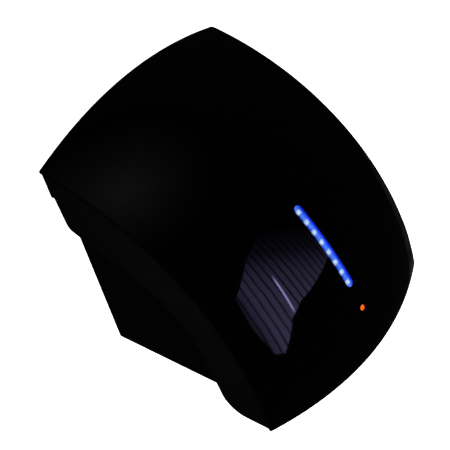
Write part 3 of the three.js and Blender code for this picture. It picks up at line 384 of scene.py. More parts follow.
def revolved(name, section, sides, place):
    """A closed body turned round its own axis from (radius, height) points, put in the frame by place."""
    loops = []
    for radius, height in section:
        loops.append([place(radius * math.cos(a), radius * math.sin(a), height)
                      for a in (2 * math.pi * k / sides for k in range(sides))])
    return loft(name, loops)


def moved(place, dp, dq, dh=0.0):
    return lambda p, q, h: place(p + dp, q + dq, h + dh)


def surface_drop(q):
    """How far the face's centre line stands above the bar's straight chord, at a distance along it."""
    p0, p1 = centre_at(BAR_BOTTOM), centre_at(BAR_TOP)
    length = np.linalg.norm(p1 - p0)
    up = (p1 - p0) / length
    out = np.array([-up[1], up[0]])
    t = np.linspace(0, 1, 400)
    offsets = bezier(CENTRE_PROFILE, t) - (p0 + p1) / 2
    return float(np.interp(-q, -(offsets @ up), offsets @ out))


def make_lamp(i):
    """One round-topped lamp standing on the light board."""
    q = (i - (LAMP_COUNT - 1) / 2) * LAMP_PITCH
    top = surface_drop(q) - 2.1
    radius = 2.3
    base = -BOARD_FRONT
    section = [(0.05, base + 0.1), (2.4, base + 0.1), (2.4, base + 1.2), (radius, base + 1.4)]
    turns = np.linspace(0, math.pi / 2 - 0.02, 9)
    section += [(radius * math.cos(a), top - radius + radius * math.sin(a)) for a in turns]
    return smooth(revolved(f"lamp_{i + 1}", section, 24, moved(BAR_PLACE, 0, q)), 40)


def make_indicator():
    section = [(0.05, -7.4), (3.8, -7.4), (3.8, -6.8), (2.6, -6.8), (2.6, -0.25)]
    turns = np.linspace(0.15, math.pi / 2 - 0.02, 7)
    section += [(2.6 * math.cos(a), -0.25 + 0.5 * math.sin(a)) for a in turns]
    return smooth(revolved("lens_indicator", section, 32, INDICATOR_PLACE), 40)


# ---- Pieces inside the housing ----
def gather(name, parts):
    """One object holding the closed bodies of several."""
    bm = bmesh.new()
    for part in parts:
        bm.from_mesh(part.data)
        bpy.data.objects.remove(part)
    mesh = bpy.data.meshes.new(name)
    bm.to_mesh(mesh)
    bm.free()
    obj = bpy.data.objects.new(name, mesh)
    bpy.context.scene.collection.objects.link(obj)
    return smooth(obj, 35)


def path_frames(path):
    """Unit vectors along a path and two across it that turn as little as they can."""
    along = np.gradient(path, axis=0)
    along /= np.linalg.norm(along, axis=1)[:, None]
    side = np.cross(along[0], (0.31, 0.82, 0.47))
    sides = []
    for ahead in along:
        side = side - ahead * (side @ ahead)
        side = side / np.linalg.norm(side)
        sides.append(side)
    sides = np.array(sides)
    return along, sides, np.cross(along, sides)


def swept(name, path, radius, sides=8):
    """A closed round tube along a path of points."""
    _, across, up = path_frames(path)
    turns = np.linspace(0, 2 * math.pi, sides, endpoint=False)
    ring = [(radius * math.cos(a), radius * math.sin(a)) for a in turns]
    return loft(name, [[tuple(p + c * i + s * j) for c, s in ring] for p, i, j in zip(path, across, up)])


def curved_path(points, steps):
    """A smooth curve through points."""
    p = np.array([points[0], *points, points[-1]], float)
    curve = []
    for a, b, c, d in zip(p, p[1:], p[2:], p[3:]):
        for t in np.linspace(0, 1, steps, endpoint=False):
            bend = (2 * a - 5 * b + 4 * c - d) * t**2
            twist = (3 * b - a - 3 * c + d) * t**3
            curve.append(0.5 * (2 * b + (c - a) * t + bend + twist))
    return np.array(curve + [p[-1]])


def twisted(path, radius, phase, pitch):
    """A path wound round another one."""
    along, side, up = path_frames(path)
    steps = np.linalg.norm(np.diff(path, axis=0), axis=1)
    turn = phase + 2 * math.pi * np.concatenate([[0], np.cumsum(steps)])[:, None] / pitch
    return path + radius * (np.cos(turn) * side + np.sin(turn) * up)


def make_wires(name, points, strands, bundle):
    """Insulated single wires, twisted together along one route."""
    route = curved_path(points, 30)
    thickness = bundle * 0.46
    wires = []
    for k in range(strands):
        path = twisted(route, bundle - thickness, 2 * math.pi * k / strands, 24)
        wires.append(smooth(swept(f"{name}_{k + 1}", path, thickness, 12), 60))
    return wires


def make_heater():
    """Resistance wire in a fine spiral, wound in turns on the mica cross."""
    top, bottom = np.array([-142.65, -50.3]), np.array([-189.5, -122.8])
    down = (bottom - top) / np.linalg.norm(bottom - top)
    out = np.array([-down[1], down[0]])
    a = np.linspace(0, 2 * math.pi * 7, 1400)
    along = 20 + 42 * a / a[-1]
    depth = 12.3 * np.sin(a)
    yz = top + along[:, None] * down + depth[:, None] * out
    core = np.column_stack([20.3 * np.cos(a), yz])
    lengths = np.concatenate([[0], np.cumsum(np.linalg.norm(np.diff(core, axis=0), axis=1))])
    fine = np.linspace(0, lengths[-1], 4600)
    core = np.column_stack([np.interp(fine, lengths, core[:, k]) for k in range(3)])
    return smooth(swept("heater_spiral", twisted(core, 1.15, 0, 1.7), 0.26, 6), 80)


BOARD_FACE = -15.6


def board_place(x, z):
    return lambda p, q, h: (x + p, BOARD_FACE - h, z + q)


def lying(x, z, lift):
    """A place whose height runs along X, above the board."""
    return lambda p, q, h: (x + h, BOARD_FACE - lift - p, z + q)


def make_resistors():
    section = [(0.3, -5.4), (0.3, -3.4), (1.0, -3.2), (1.35, -2.6), (1.1, -1.9),
               (1.1, 1.9), (1.35, 2.6), (1.0, 3.2), (0.3, 3.4), (0.3, 5.4)]
    spots = [(x, z) for x in (-86, -73, -60) for z in (22, 26)]
    spots += [(-84, z) for z in (-31, -35)] + [(-49, z) for z in (-20, -14, 10)]
    bodies, legs = [], []
    for x, z in spots:
        bodies.append(revolved("body", section[1:-1], 16, lying(x, z, 1.7)))
        legs.append(revolved("leg", [(0.28, -5.2), (0.28, 5.2)], 8, lying(x, z, 1.7)))
        legs += [prism("leg", circle(dx, 0, 0.28, 8), board_place(x, z), -0.3, 1.9) for dx in (-5.1, 5.1)]
    return gather("resistor_bodies", bodies), gather("resistor_legs", legs)


def make_chips():
    bodies, legs = [], []
    for x, z, long in ((-50, 22, 9.6), (-46, -4, 6.4)):
        outline = rounded_box(-long / 2, long / 2, -3.2, 3.2, 0.3, 3)
        body = prism("chip", outline, board_place(x, z), 0.7, 4.0)
        dimple = prism("cut", circle(-long / 2 + 1.2, -1.9, 0.5, 16), board_place(x, z), 3.7, 5)
        bodies.append(combine(bevelled(body, 0.25, 2), "DIFFERENCE", dimple))
        for k in range(int(long / 2.5)):
            p = (k - (int(long / 2.5) - 1) / 2) * 2.54
            for q in (-3.5, 3.5):
                foot = rounded_box(p - 0.25, p + 0.25, q - 0.45, q + 0.45, 0.1, 2)
                legs.append(prism("leg", foot, board_place(x, z), -0.2, 2.2))
    return gather("chip_bodies", bodies), gather("chip_legs", legs)


def make_small_capacitors():
    section = [
        (0.05, 0.3), (2.9, 0.3), (3.1, 0.6), (3.1, 1.1), (2.85, 1.35),
        (3.1, 1.6), (3.1, 8.6), (2.8, 8.9), (2.5, 8.7), (0.05, 8.7),
    ]
    spots = ((-90, -36), (-66, 26.5), (-44, 30))
    return gather("small_capacitors", [revolved("can", section, 28, board_place(x, z)) for x, z in spots])


def make_headers():
    """Two keyed plug headers at the board's edge, each with its row of pins."""
    shells, pins = [], []
    for x, z in ((-84, 49), (-66, 49)):
        shell = prism("shell", rounded_box(-6, 6, -2.2, 2.2, 0.4, 3), board_place(x, z), 0.1, 7.5)
        pocket = prism("cut", rounded_box(-5.2, 5.2, -1.4, 1.4, 0.2, 2), board_place(x, z), 1.4, 9)
        key = prism("cut", rounded_box(-1.6, 1.6, 1, 3, 0.2, 2), board_place(x, z), 3.4, 9)
        shells.append(combine(shell, "DIFFERENCE", pocket, key))
        for p in (-3.75, -1.25, 1.25, 3.75):
            outline = rounded_box(p - 0.32, p + 0.32, -0.32, 0.32, 0.1, 2)
            pins.append(prism("pin", outline, board_place(x, z), -0.2, 6.2))
    return gather("header_shells", shells), gather("header_pins", pins)


def make_fuse():
    """A cartridge fuse in two clips."""
    x, z = -46, -36
    caps, clips = [], []
    for a in (-9.5, 5.5):
        section = [(0.05, a), (2.5, a), (2.6, a + 0.3), (2.6, a + 3.7), (2.5, a + 4), (0.05, a + 4)]
        caps.append(revolved("cap", section, 24, lying(x, z, 3.6)))
    for dx in (-7.5, 7.5):
        outline = rounded_box(dx - 1.6, dx + 1.6, -2.9, 2.9, 0.4, 3)
        clips.append(prism("clip", outline, board_place(x, z), 0.1, 2.4))
    tube = revolved("fuse_tube", [(0.05, -9.2), (2.3, -9.2), (2.3, 9.2), (0.05, 9.2)], 24, lying(x, z, 3.6))
    return gather("fuse_ends", caps + clips), smooth(tube, 40)


def make_gauze():
    """The filter's fine square mesh."""
    x0, x1, y0, y1, z, half, pitch = -47.5, 39.5, -116, -26, -110.7, 0.16, 1.7
    threads = []
    for x in np.arange(x0 + 1, x1, pitch):
        threads.append(block("thread", x - half, x + half, y0, y1, z - half, z + half))
    for y in np.arange(y0 + 1, y1, pitch):
        threads.append(block("thread", x0, x1, y - half, y + half, z, z + 2 * half))
    return gather("filter_gauze", threads)


# ---- Materials ----
class Graph:
    """Short calls for building one material's nodes."""

    def __init__(self, name):
        self.material = bpy.data.materials.new(name)
        self.material.use_nodes = True
        self.tree = self.material.node_tree
        self.tree.nodes.clear()
        self.output = self.add("ShaderNodeOutputMaterial")
        self.shader = self.add("ShaderNodeBsdfPrincipled")
        self.link(self.shader.outputs[0], self.output.inputs["Surface"])
        self.coords = self.add("ShaderNodeTexCoord").outputs["Object"]

    def add(self, kind, **settings):
        node = self.tree.nodes.new(kind)
        for key, value in settings.items():
            setattr(node, key, value)
        return node

    def link(self, a, b):
        self.tree.links.new(a, b)

    def noise(self, scale, detail=3.0, stretch=(1, 1, 1), roughness=0.55):
        place = self.add("ShaderNodeMapping")
        place.inputs["Scale"].default_value = stretch
        self.link(self.coords, place.inputs["Vector"])
        node = self.add("ShaderNodeTexNoise")
        node.inputs["Scale"].default_value = scale
        node.inputs["Detail"].default_value = detail
        node.inputs["Roughness"].default_value = roughness
        self.link(place.outputs[0], node.inputs["Vector"])
        return node.outputs["Fac"]

    def cells(self, scale, stretch=(1, 1, 1), feature="F1"):
        place = self.add("ShaderNodeMapping")
        place.inputs["Scale"].default_value = stretch
        self.link(self.coords, place.inputs["Vector"])
        node = self.add("ShaderNodeTexVoronoi", feature=feature)
        node.inputs["Scale"].default_value = scale
        self.link(place.outputs[0], node.inputs["Vector"])
        return node.outputs["Distance"]

    def bands(self, axis, scale, distortion=0.0):
        node = self.add("ShaderNodeTexWave", wave_type="BANDS", bands_direction=axis)
        node.inputs["Scale"].default_value = scale
        node.inputs["Distortion"].default_value = distortion
        self.link(self.coords, node.inputs["Vector"])
        return node.outputs["Fac"]

    def math(self, operation, a, b=None, c=None):
        node = self.add("ShaderNodeMath", operation=operation)
        for socket, value in zip(node.inputs, (a, b, c)):
            if value is None:
                continue
            if isinstance(value, (int, float)):
                socket.default_value = value
            else:
                self.link(value, socket)
        return node.outputs[0]

    def span(self, value, low, high, out_low, out_high):
        node = self.add("ShaderNodeMapRange")
        self.link(value, node.inputs["Value"])
        for key, number in zip(("From Min", "From Max", "To Min", "To Max"), (low, high, out_low, out_high)):
            node.inputs[key].default_value = number
        return node.outputs[0]

    def mix(self, share, a, b):
        node = self.add("ShaderNodeMix", data_type="RGBA")
        self.link(share, node.inputs["Factor"])
        for socket, value in ((node.inputs[6], a), (node.inputs[7], b)):
            if isinstance(value, tuple):
                socket.default_value = (*value, 1)
            else:
                self.link(value, socket)
        return node.outputs[2]

    def ramp(self, value, stops):
        """A colour ramp through (position, colour) stops."""
        node = self.add("ShaderNodeValToRGB")
        self.link(value, node.inputs[0])
        points = node.color_ramp.elements
        for i, (place, colour) in enumerate(stops):
            point = points[i] if i < 2 else points.new(place)
            point.position = place
            point.color = (*colour, 1)
        return node.outputs[0]

    def along(self, direction, origin=(0, 0, 0)):
        """Distance in metres along a direction from an origin."""
        shift = self.add("ShaderNodeVectorMath", operation="SUBTRACT")
        self.link(self.coords, shift.inputs[0])
        shift.inputs[1].default_value = origin
        dot = self.add("ShaderNodeVectorMath", operation="DOT_PRODUCT")
        self.link(shift.outputs[0], dot.inputs[0])
        dot.inputs[1].default_value = direction
        return dot.outputs["Value"]

    def bump(self, heights):
        """Chains height fields given as (field, distance in metres)."""
        normal = None
        for field, distance in heights:
            node = self.add("ShaderNodeBump")
            node.inputs["Distance"].default_value = distance
            self.link(field, node.inputs["Height"])
            if normal is not None:
                self.link(normal, node.inputs["Normal"])
            normal = node.outputs[0]
        self.link(normal, self.shader.inputs["Normal"])

    def set(self, **values):
        for key, value in values.items():
            socket = self.shader.inputs[key.replace("_", " ")]
            if hasattr(value, "is_output") or isinstance(value, bpy.types.NodeSocket):
                self.link(value, socket)
            elif isinstance(value, tuple):
                socket.default_value = (*value, 1)
            else:
                socket.default_value = value


def tint(colour, factor):
    return tuple(min(1.0, c * factor) for c in colour)


def moulded(name, colour, rough, spread=0.08, grain=0.00005, grain_scale=2600, spec=0.5, mottle=1.35):
    """Injection-moulded plastic: fine spark-eroded grain, flow mottling and rubbed patches."""
    g = Graph(name)
    grains = g.noise(grain_scale, 2.0)
    pits = g.cells(grain_scale * 0.6)
    flow = g.noise(14, 4.0)
    rub = g.noise(46, 5.0, roughness=0.65)
    g.set(Base_Color=g.mix(g.span(flow, 0.35, 0.65, 0, 1), tint(colour, 1 / mottle), tint(colour, mottle)))
    g.set(Roughness=g.span(rub, 0.3, 0.7, rough - spread, rough + spread), Specular_IOR_Level=spec)
    g.bump([(flow, 0.00012), (pits, grain), (grains, grain)])
    return g.material


def gloss_black(name):
    """Piano-black moulding: near-mirror coat, faint orange peel, hairline swirls and a trace of dust."""
    g = Graph(name)
    peel = g.noise(95, 1.5)
    swirl = g.noise(900, 3.0, stretch=(1, 0.03, 0.03))
    smear = g.noise(22, 4.0)
    dust = g.cells(520)
    speck = g.span(dust, 0.0, 0.05, 1, 0)
    patch = g.math("MULTIPLY", speck, g.span(smear, 0.5, 0.62, 0, 1))
    g.set(Base_Color=g.mix(patch, (0.0016, 0.0016, 0.0019), (0.012, 0.012, 0.013)))
    haze = g.math("ADD", g.span(smear, 0.35, 0.7, 0.02, 0.07), g.span(swirl, 0.55, 0.8, 0, 0.03))
    g.set(Roughness=haze, IOR=1.49)
    g.bump([(peel, 0.000012), (swirl, 0.0000006)])
    return g.material


def brushed(name, colour, rough, stretch=(1, 1, 0.02), spread=0.12, scale=1500, stain=1.15):
    """Rolled or brushed metal: fine drawn lines, cloudy oxide and scratches."""
    g = Graph(name)
    lines = g.noise(scale, 3.0, stretch=stretch)
    cloud = g.noise(30, 4.0)
    scratch = g.noise(260, 2.0, stretch=(0.05, 1, 1.4))
    patch = g.span(cloud, 0.3, 0.7, 0, 1)
    g.set(Base_Color=g.mix(patch, tint(colour, 1 / stain), tint(colour, stain)), Metallic=1.0)
    worn = g.span(lines, 0.3, 0.7, rough - spread, rough + spread)
    wear = g.math("ADD", worn, g.span(scratch, 0.68, 0.75, 0, 0.1))
    g.set(Roughness=wear)
    g.bump([(lines, 0.000012), (scratch, 0.000006)])
    return g.material


def striped(name, dark, light, axis, scale, rough, metal, depth=0.00008, distortion=0.0):
    """Stacked laminations, windings or segments: regular bands across one axis."""
    g = Graph(name)
    band = g.bands(axis, scale, distortion)
    cloud = g.noise(60, 4.0)
    shade = g.math("MULTIPLY", band, g.span(cloud, 0.2, 0.8, 0.7, 1.0))
    g.set(Base_Color=g.mix(shade, dark, light), Metallic=metal)
    g.set(Roughness=g.span(cloud, 0.3, 0.7, rough - 0.08, rough + 0.08))
    g.bump([(band, depth)])
    return g.material


def circuit(name):
    """Green solder mask over etched tracks, with tinned pads."""
    g = Graph(name)
    tracks = g.math("MULTIPLY", g.bands("X", 120, 1.6), g.bands("Z", 95, 1.2))
    line = g.span(tracks, 0.32, 0.4, 0, 1)
    pads = g.span(g.cells(190), 0.1, 0.13, 1, 0)
    cloud = g.noise(40, 3.0)
    board = g.mix(g.span(cloud, 0.3, 0.7, 0, 1), (0.006, 0.055, 0.018), (0.010, 0.085, 0.028))
    etched = g.mix(line, board, (0.022, 0.16, 0.05))
    g.set(Base_Color=g.mix(pads, etched, (0.55, 0.56, 0.58)), Metallic=g.span(pads, 0, 1, 0, 0.9))
    g.set(Roughness=g.span(cloud, 0.3, 0.7, 0.28, 0.4))
    g.bump([(line, 0.00006), (pads, 0.00012)])
    return g.material


def flaky(name, colour):
    """Pressed mica: layered pearly flakes with darker resin between them."""
    g = Graph(name)
    flakes = g.cells(420, stretch=(1, 1, 0.5))
    cloud = g.noise(120, 4.0)
    g.set(Base_Color=g.mix(g.span(flakes, 0.05, 0.6, 0, 1), tint(colour, 0.55), tint(colour, 1.25)))
    g.set(Roughness=g.span(cloud, 0.3, 0.7, 0.3, 0.6), Sheen_Weight=0.15)
    g.bump([(flakes, 0.00008), (cloud, 0.00003)])
    return g.material


def bar_lens(name):
    """Frosted blue diffuser, lit from behind: a hot spot over each lamp, deep blue towards one wall."""
    g = Graph(name)
    centre, ahead = (Vector(BAR_PLACE(0, q, 0)) * MM for q in (0, 1))
    up = (ahead - centre).normalized()
    along = g.math("DIVIDE", g.along(up, centre), LAMP_PITCH * MM)
    across = g.along((1, 0, 0))
    frost = g.noise(1500, 2.0)
    cloud = g.noise(420, 3.0)
    wander = g.math("MULTIPLY", g.math("SUBTRACT", cloud, 0.5), 0.003)
    share = g.span(g.math("ADD", across, wander), -0.004, 0.004, 0, 1)
    glow = g.ramp(share, BAR_GLOW)
    beat = g.math("COSINE", g.math("MULTIPLY", g.math("SUBTRACT", along, 0.5), 2 * math.pi))
    reach = g.math("ABSOLUTE", g.math("ADD", across, 0.0014))
    spot = g.math("MULTIPLY", g.span(beat, 0.0, 0.9, 0, 1), g.span(reach, 0.0007, 0.0032, 1, 0))
    spot = g.math("MULTIPLY", spot, g.span(frost, 0.3, 0.62, 0.6, 1.0))
    grain = g.math("MULTIPLY", g.span(frost, 0.32, 0.66, 0.45, 1.25), g.span(cloud, 0.35, 0.65, 0.85, 1.1))
    g.set(Base_Color=g.mix(cloud, (0.004, 0.03, 0.5), (0.02, 0.10, 0.85)))
    g.set(Emission_Color=g.mix(spot, glow, (0.75, 1.0, 1.0)), Emission_Strength=grain)
    g.set(Roughness=g.span(frost, 0.3, 0.7, 0.12, 0.3), Alpha=0.92)
    g.bump([(frost, 0.00003)])
    return g.material


def lamp_glow(name, core, rim, strength):
    """A lit lamp: brightest at its tip, deeper colour towards the sides."""
    g = Graph(name)
    facing = g.add("ShaderNodeLayerWeight").outputs["Facing"]
    speckle = g.noise(900, 2.0)
    g.set(Base_Color=g.mix(speckle, tint(rim, 0.5), tint(rim, 0.9)))
    g.set(Emission_Color=g.mix(g.span(facing, 0.05, 0.75, 0, 1), core, rim), Emission_Strength=strength)
    g.set(Roughness=g.span(speckle, 0.3, 0.7, 0.15, 0.3))
    g.bump([(speckle, 0.00001)])
    return g.material


def smoked(name):
    """Deep red infrared window: nearly black, faint red in depth, moulding ripple."""
    g = Graph(name)
    ripple = g.noise(180, 2.0)
    g.set(Base_Color=g.mix(ripple, (0.006, 0.0008, 0.0015), (0.03, 0.003, 0.006)))
    g.set(Roughness=g.span(ripple, 0.3, 0.7, 0.06, 0.16), Coat_Weight=0.4)
    g.bump([(ripple, 0.00002)])
    return g.material


BAR_GLOW = (
    (0.0, (0.008, 0.02, 0.20)), (1.0, (0.002, 0.008, 0.50)), (0.12, (0.03, 0.10, 0.62)),
    (0.36, (0.10, 0.28, 0.92)), (0.58, (0.05, 0.18, 0.92)), (0.80, (0.012, 0.06, 0.84)),
)
MATERIALS = {
    "gloss_black": gloss_black("gloss_black"),
    "satin_black": moulded("satin_black", (0.0075, 0.0073, 0.0076), 0.42, 0.06, 0.00002, 2400),
    "matte_black": moulded("matte_black", (0.0048, 0.0047, 0.0050), 0.62, 0.08, 0.00005, 1700, spec=0.35),
    "blue_lens": bar_lens("blue_lens"),
    "amber_lens": lamp_glow("amber_lens", (1.0, 0.20, 0.02), (0.75, 0.03, 0.0), 1.15),
    "smoked_lens": smoked("smoked_lens"),
    "steel": brushed("steel", (0.42, 0.44, 0.46), 0.34),
    "zinc": brushed("zinc", (0.56, 0.59, 0.62), 0.3, stretch=(1, 1, 1), scale=700),
    "aluminium": brushed("aluminium", (0.62, 0.63, 0.65), 0.36, stretch=(0.03, 1, 1)),
    "lamination": striped("lamination", (0.03, 0.032, 0.035), (0.22, 0.23, 0.25), "X", 310, 0.45, 0.85),
    "copper": striped("copper", (0.16, 0.035, 0.012), (0.62, 0.22, 0.09), "Y", 330, 0.3, 0.9, 0.0002, 0.6),
    "brass": brushed("brass", (0.58, 0.40, 0.13), 0.33, stretch=(1, 0.05, 1)),
    "carbon": moulded("carbon", (0.018, 0.018, 0.019), 0.6, 0.1, 0.00004, 1500),
    "nichrome": striped(
        "nichrome", (0.10, 0.08, 0.07), (0.34, 0.30, 0.27), "Z", 260, 0.38, 0.9, 0.00006, 1.0
    ),
    "mica": flaky("mica", (0.50, 0.40, 0.26)),
    "rubber": moulded("rubber", (0.013, 0.013, 0.013), 0.78, 0.08, 0.00006, 1300, spec=0.3),
    "nylon": moulded("nylon", (0.62, 0.60, 0.54), 0.48, 0.08, 0.00003, 1500, mottle=1.08),
    "white_plastic": moulded("white_plastic", (0.70, 0.70, 0.68), 0.45, 0.08, 0.00003, 1500, mottle=1.06),
    "grey_plastic": moulded("grey_plastic", (0.042, 0.045, 0.048), 0.5, 0.08, 0.00004, 1500),
    "board_green": circuit("board_green"),
    "film_yellow": moulded("film_yellow", (0.62, 0.34, 0.025), 0.32, 0.06, 0.00002, 700, mottle=1.1),
    "relay_blue": moulded("relay_blue", (0.02, 0.06, 0.28), 0.4, 0.07, 0.00002, 1200, mottle=1.15),
    "wire_red": moulded("wire_red", (0.33, 0.015, 0.012), 0.36, 0.07, 0.00002, 800, mottle=1.15),
}
FINE = {
    "ceramic": striped("ceramic", (0.22, 0.05, 0.03), (0.58, 0.42, 0.24), "X", 520, 0.42, 0.0, 0.00002),
    "wire_brown": moulded("wire_brown", (0.10, 0.035, 0.015), 0.36, 0.07, 0.00002, 800, mottle=1.15),
    "wire_blue": moulded("wire_blue", (0.02, 0.07, 0.36), 0.36, 0.07, 0.00002, 800, mottle=1.15),
    "wire_earth": striped(
        "wire_earth", (0.03, 0.22, 0.03), (0.72, 0.56, 0.03), "X", 160, 0.36, 0.0, 0.00001
    ),
    "tin": brushed("tin", (0.66, 0.67, 0.68), 0.28, stretch=(1, 1, 1), scale=900),
    "chip_black": moulded("chip_black", (0.014, 0.014, 0.015), 0.55, 0.08, 0.00003, 1800),
    "ceramic_white": moulded("ceramic_white", (0.62, 0.60, 0.55), 0.3, 0.06, 0.00001, 900, mottle=1.08),
}
LAMP_BLUE = lamp_glow("lamp_blue", (0.62, 0.92, 1.0), (0.02, 0.16, 1.0), 3.2)


def finish_cad_nodes():
    """Every CAD node left showing gets its slot's material and softened edges."""
    for name, node in NODES.items():
        node.data.materials.clear()
        node.data.materials.append(MATERIALS[SLOT_OF[name]])
        weld = node.modifiers.new("weld", "WELD")
        weld.merge_threshold = 0.000005
        edge = node.modifiers.new("edge", "BEVEL")
        low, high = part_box(name)
        edge.width = min(0.0004, 0.06 * min(high - low))
        edge.segments = 2
        edge.limit_method = "ANGLE"
        edge.angle_limit = math.radians(35)
        edge.harden_normals = False
        normals = node.modifiers.new("normals", "WEIGHTED_NORMAL")
        normals.keep_sharp = False
        normals.weight = 90


def dress(piece, body, slot, *replaced, material=None):
    piece.data.materials.clear()
    piece.data.materials.append(material or MATERIALS[slot])
    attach(piece, body)
    if replaced:
        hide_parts(*replaced)


# ---- Camera and studio ----
WINDOW_DISTANCE = 1600
WINDOW_OUTLINE = [
    (-0.29, -0.27), (-0.22, -0.30), (-0.04, -0.05), (0.09, 0.02), (0.59, 0.09), (0.64, 0.44),
    (0.62, 0.60), (0.42, 0.78), (-0.07, 0.53), (-0.31, 0.31), (-0.33, 0.0),
]
WINDOW_FADE = (
    (0.0, (1.35, 1.35, 1.35)), (1.0, (0.0, 0.0, 0.0)), (0.35, (1.1, 1.1, 1.1)), (0.55, (0.75, 0.75, 0.75)),
    (0.75, (0.16, 0.16, 0.16)),
)
BLACK_SHELLS = {
    "front_panel", "side_cover", "rear_housing", "glossy_panel", "front_cover", "lens_bar", "lens_indicator",
}
INSIDE_LIGHTS = [
    ("inside_key", (-1.1, -1.6, 1.4), 1.0, 110.0), ("inside_fill", (1.5, -1.3, 0.5), 1.2, 50.0),
    ("inside_low", (0.1, -0.9, -1.1), 0.9, 30.0), ("inside_rear", (0.3, 1.7, 0.8), 1.0, 24.0),
]
CEILING = (-400, -250, 1600, 1350)
CEILING_GLOW = 0.125
EDGE_SHEET = [(82, -9), (88, -20), (100, -36), (112, -45), (108, -50), (95, -43), (85, -30), (80, -16)]
EDGE_DISTANCE = 1900
FLOOR_HALF, FLOOR_Z = 9000, -1250


def make_camera():
    data = bpy.data.cameras.new("camera")
    data.sensor_width = 36
    data.lens = 89.8
    data.clip_start, data.clip_end = 0.01, 50
    camera = bpy.data.objects.new("camera", data)
    bpy.context.scene.collection.objects.link(camera)
    forward = Vector((0.4965, 0.5890, -0.6377)).normalized()
    up = Vector((0.6109, 0.2847, 0.7387))
    right = forward.cross(up).normalized()
    forward = (forward - 0.0009 * right).normalized()
    right = forward.cross(up).normalized()
    up = right.cross(forward)
    matrix = Matrix((right, up, -forward)).transposed().to_4x4()
    matrix.translation = (-0.5291, -0.7060, 0.6560)
    camera.matrix_world = matrix
    bpy.context.scene.camera = camera


def make_floor():
    corners = [(x * FLOOR_HALF, y * FLOOR_HALF, FLOOR_Z) for x, y in ((-1, -1), (1, -1), (1, 1), (-1, 1))]
    floor = new_object("floor", corners, [(0, 1, 2, 3)])
    g = Graph("floor")
    grain = g.noise(3, 3.0)
    g.set(Base_Color=g.mix(grain, (0.86, 0.86, 0.86), (0.9, 0.9, 0.9)), Roughness=0.6)
    g.set(Emission_Color=(1, 1, 1), Emission_Strength=1.0)
    floor.data.materials.append(g.material)
    floor.visible_glossy = False
    floor.visible_diffuse = False


def area_light(name, place, target, size, colour, power, glossy=True):
    data = bpy.data.lights.new(name, "AREA")
    data.shape = "RECTANGLE"
    data.size, data.size_y = size
    data.color = colour
    data.energy = power
    light = bpy.data.objects.new(name, data)
    bpy.context.scene.collection.objects.link(light)
    light.location = place
    light.rotation_mode = "QUATERNION"
    light.rotation_quaternion = (Vector(target) - Vector(place)).to_track_quat("-Z", "Y")
    light.visible_glossy = glossy
    light.visible_camera = False
    return light


def glowing_sheet(name, points, colour, brightness):
    """A flat luminous stage piece seen only by its light and reflections; brightness(g) gives the field."""
    sheet = new_object(name, points, [tuple(range(len(points)))])
    g = Graph(name)
    g.set(Base_Color=(0, 0, 0), Emission_Color=colour, Roughness=1.0, Specular_IOR_Level=0.0)
    g.link(brightness(g), g.shader.inputs["Emission Strength"])
    sheet.data.materials.append(g.material)
    sheet.visible_camera = False
    sheet.visible_shadow = False


def make_window():
    """A tall soft panel with upright slats, ahead of the dryer: brightest low on the left."""
    far = WINDOW_DISTANCE
    points = [(x * far, -190 - far, z * far) for x, z in WINDOW_OUTLINE]

    def brightness(g):
        height = g.along((0, 0, 1 / (far * MM)))
        side = g.along((1 / (far * MM), 0, 0))
        slats = g.span(g.bands("X", 3.3, 0.6), 0.06, 0.26, 0.18, 1.0)
        slope = g.math("ADD", height, g.math("MULTIPLY", side, 0.6))
        fade = g.ramp(g.span(slope, -0.25, 0.8, 0, 1), WINDOW_FADE)
        soft = g.span(side, -0.33, -0.2, 0.25, 1.0)
        away = g.math("ABSOLUTE", g.math("SUBTRACT", side, g.math("MULTIPLY", height, 0.075)))
        streak = g.math("MULTIPLY", g.span(away, 0.002, 0.012, 11.0, 0), g.span(height, 0.31, 0.24, 0, 1))
        streak = g.math("MULTIPLY", streak, g.span(height, -0.04, 0.02, 0, 1))
        glow = g.math("MULTIPLY", g.math("MULTIPLY", slats, fade), soft)
        return g.math("ADD", glow, streak)

    glowing_sheet("soft_panel", points, (0.54, 0.47, 1.0), brightness)


def make_ceiling():
    """A round patch of ceiling light that fades to nothing."""
    x, y, z, radius = CEILING
    turns = np.linspace(0, 2 * math.pi, 48, endpoint=False)
    points = [(x + radius * math.cos(a), y + radius * math.sin(a), z) for a in turns]

    def brightness(g):
        dx = g.along((1, 0, 0), (x * MM, 0, 0))
        dy = g.along((0, 1, 0), (0, y * MM, 0))
        away = g.math("SQRT", g.math("ADD", g.math("MULTIPLY", dx, dx), g.math("MULTIPLY", dy, dy)))
        share = g.span(away, 0, radius * MM, 1, 0)
        return g.math("MULTIPLY", g.math("POWER", share, 2.0), CEILING_GLOW)

    glowing_sheet("ceiling_patch", points, (1.0, 0.96, 0.95), brightness)


def make_edge_sheet():
    """A slanting strip of light low beside the dryer, given by azimuth and elevation from its front."""
    points = []
    for azimuth, elevation in EDGE_SHEET:
        a, e = math.radians(azimuth), math.radians(elevation)
        away = EDGE_DISTANCE / math.sin(a)
        points.append((EDGE_DISTANCE, -150 - away * math.cos(a), away * math.tan(e)))

    def brightness(g):
        return g.span(g.noise(2.2, 2.0), 0.35, 0.65, 0.015, 0.05)

    glowing_sheet("edge_sheet", points, (1.0, 0.99, 0.98), brightness)


def light_inside():
    """Soft lights that only the pieces other than the black shells take."""
    lit = bpy.data.collections.new("inside_pieces")
    for obj in bpy.context.scene.objects:
        if obj.type == "MESH" and obj.name not in BLACK_SHELLS:
            lit.objects.link(obj)
    for name, place, size, power in INSIDE_LIGHTS:
        light = area_light(name, place, (0, -0.1, -0.02), (size, size), (1.0, 0.99, 0.98), power)
        light.light_linking.receiver_collection = lit


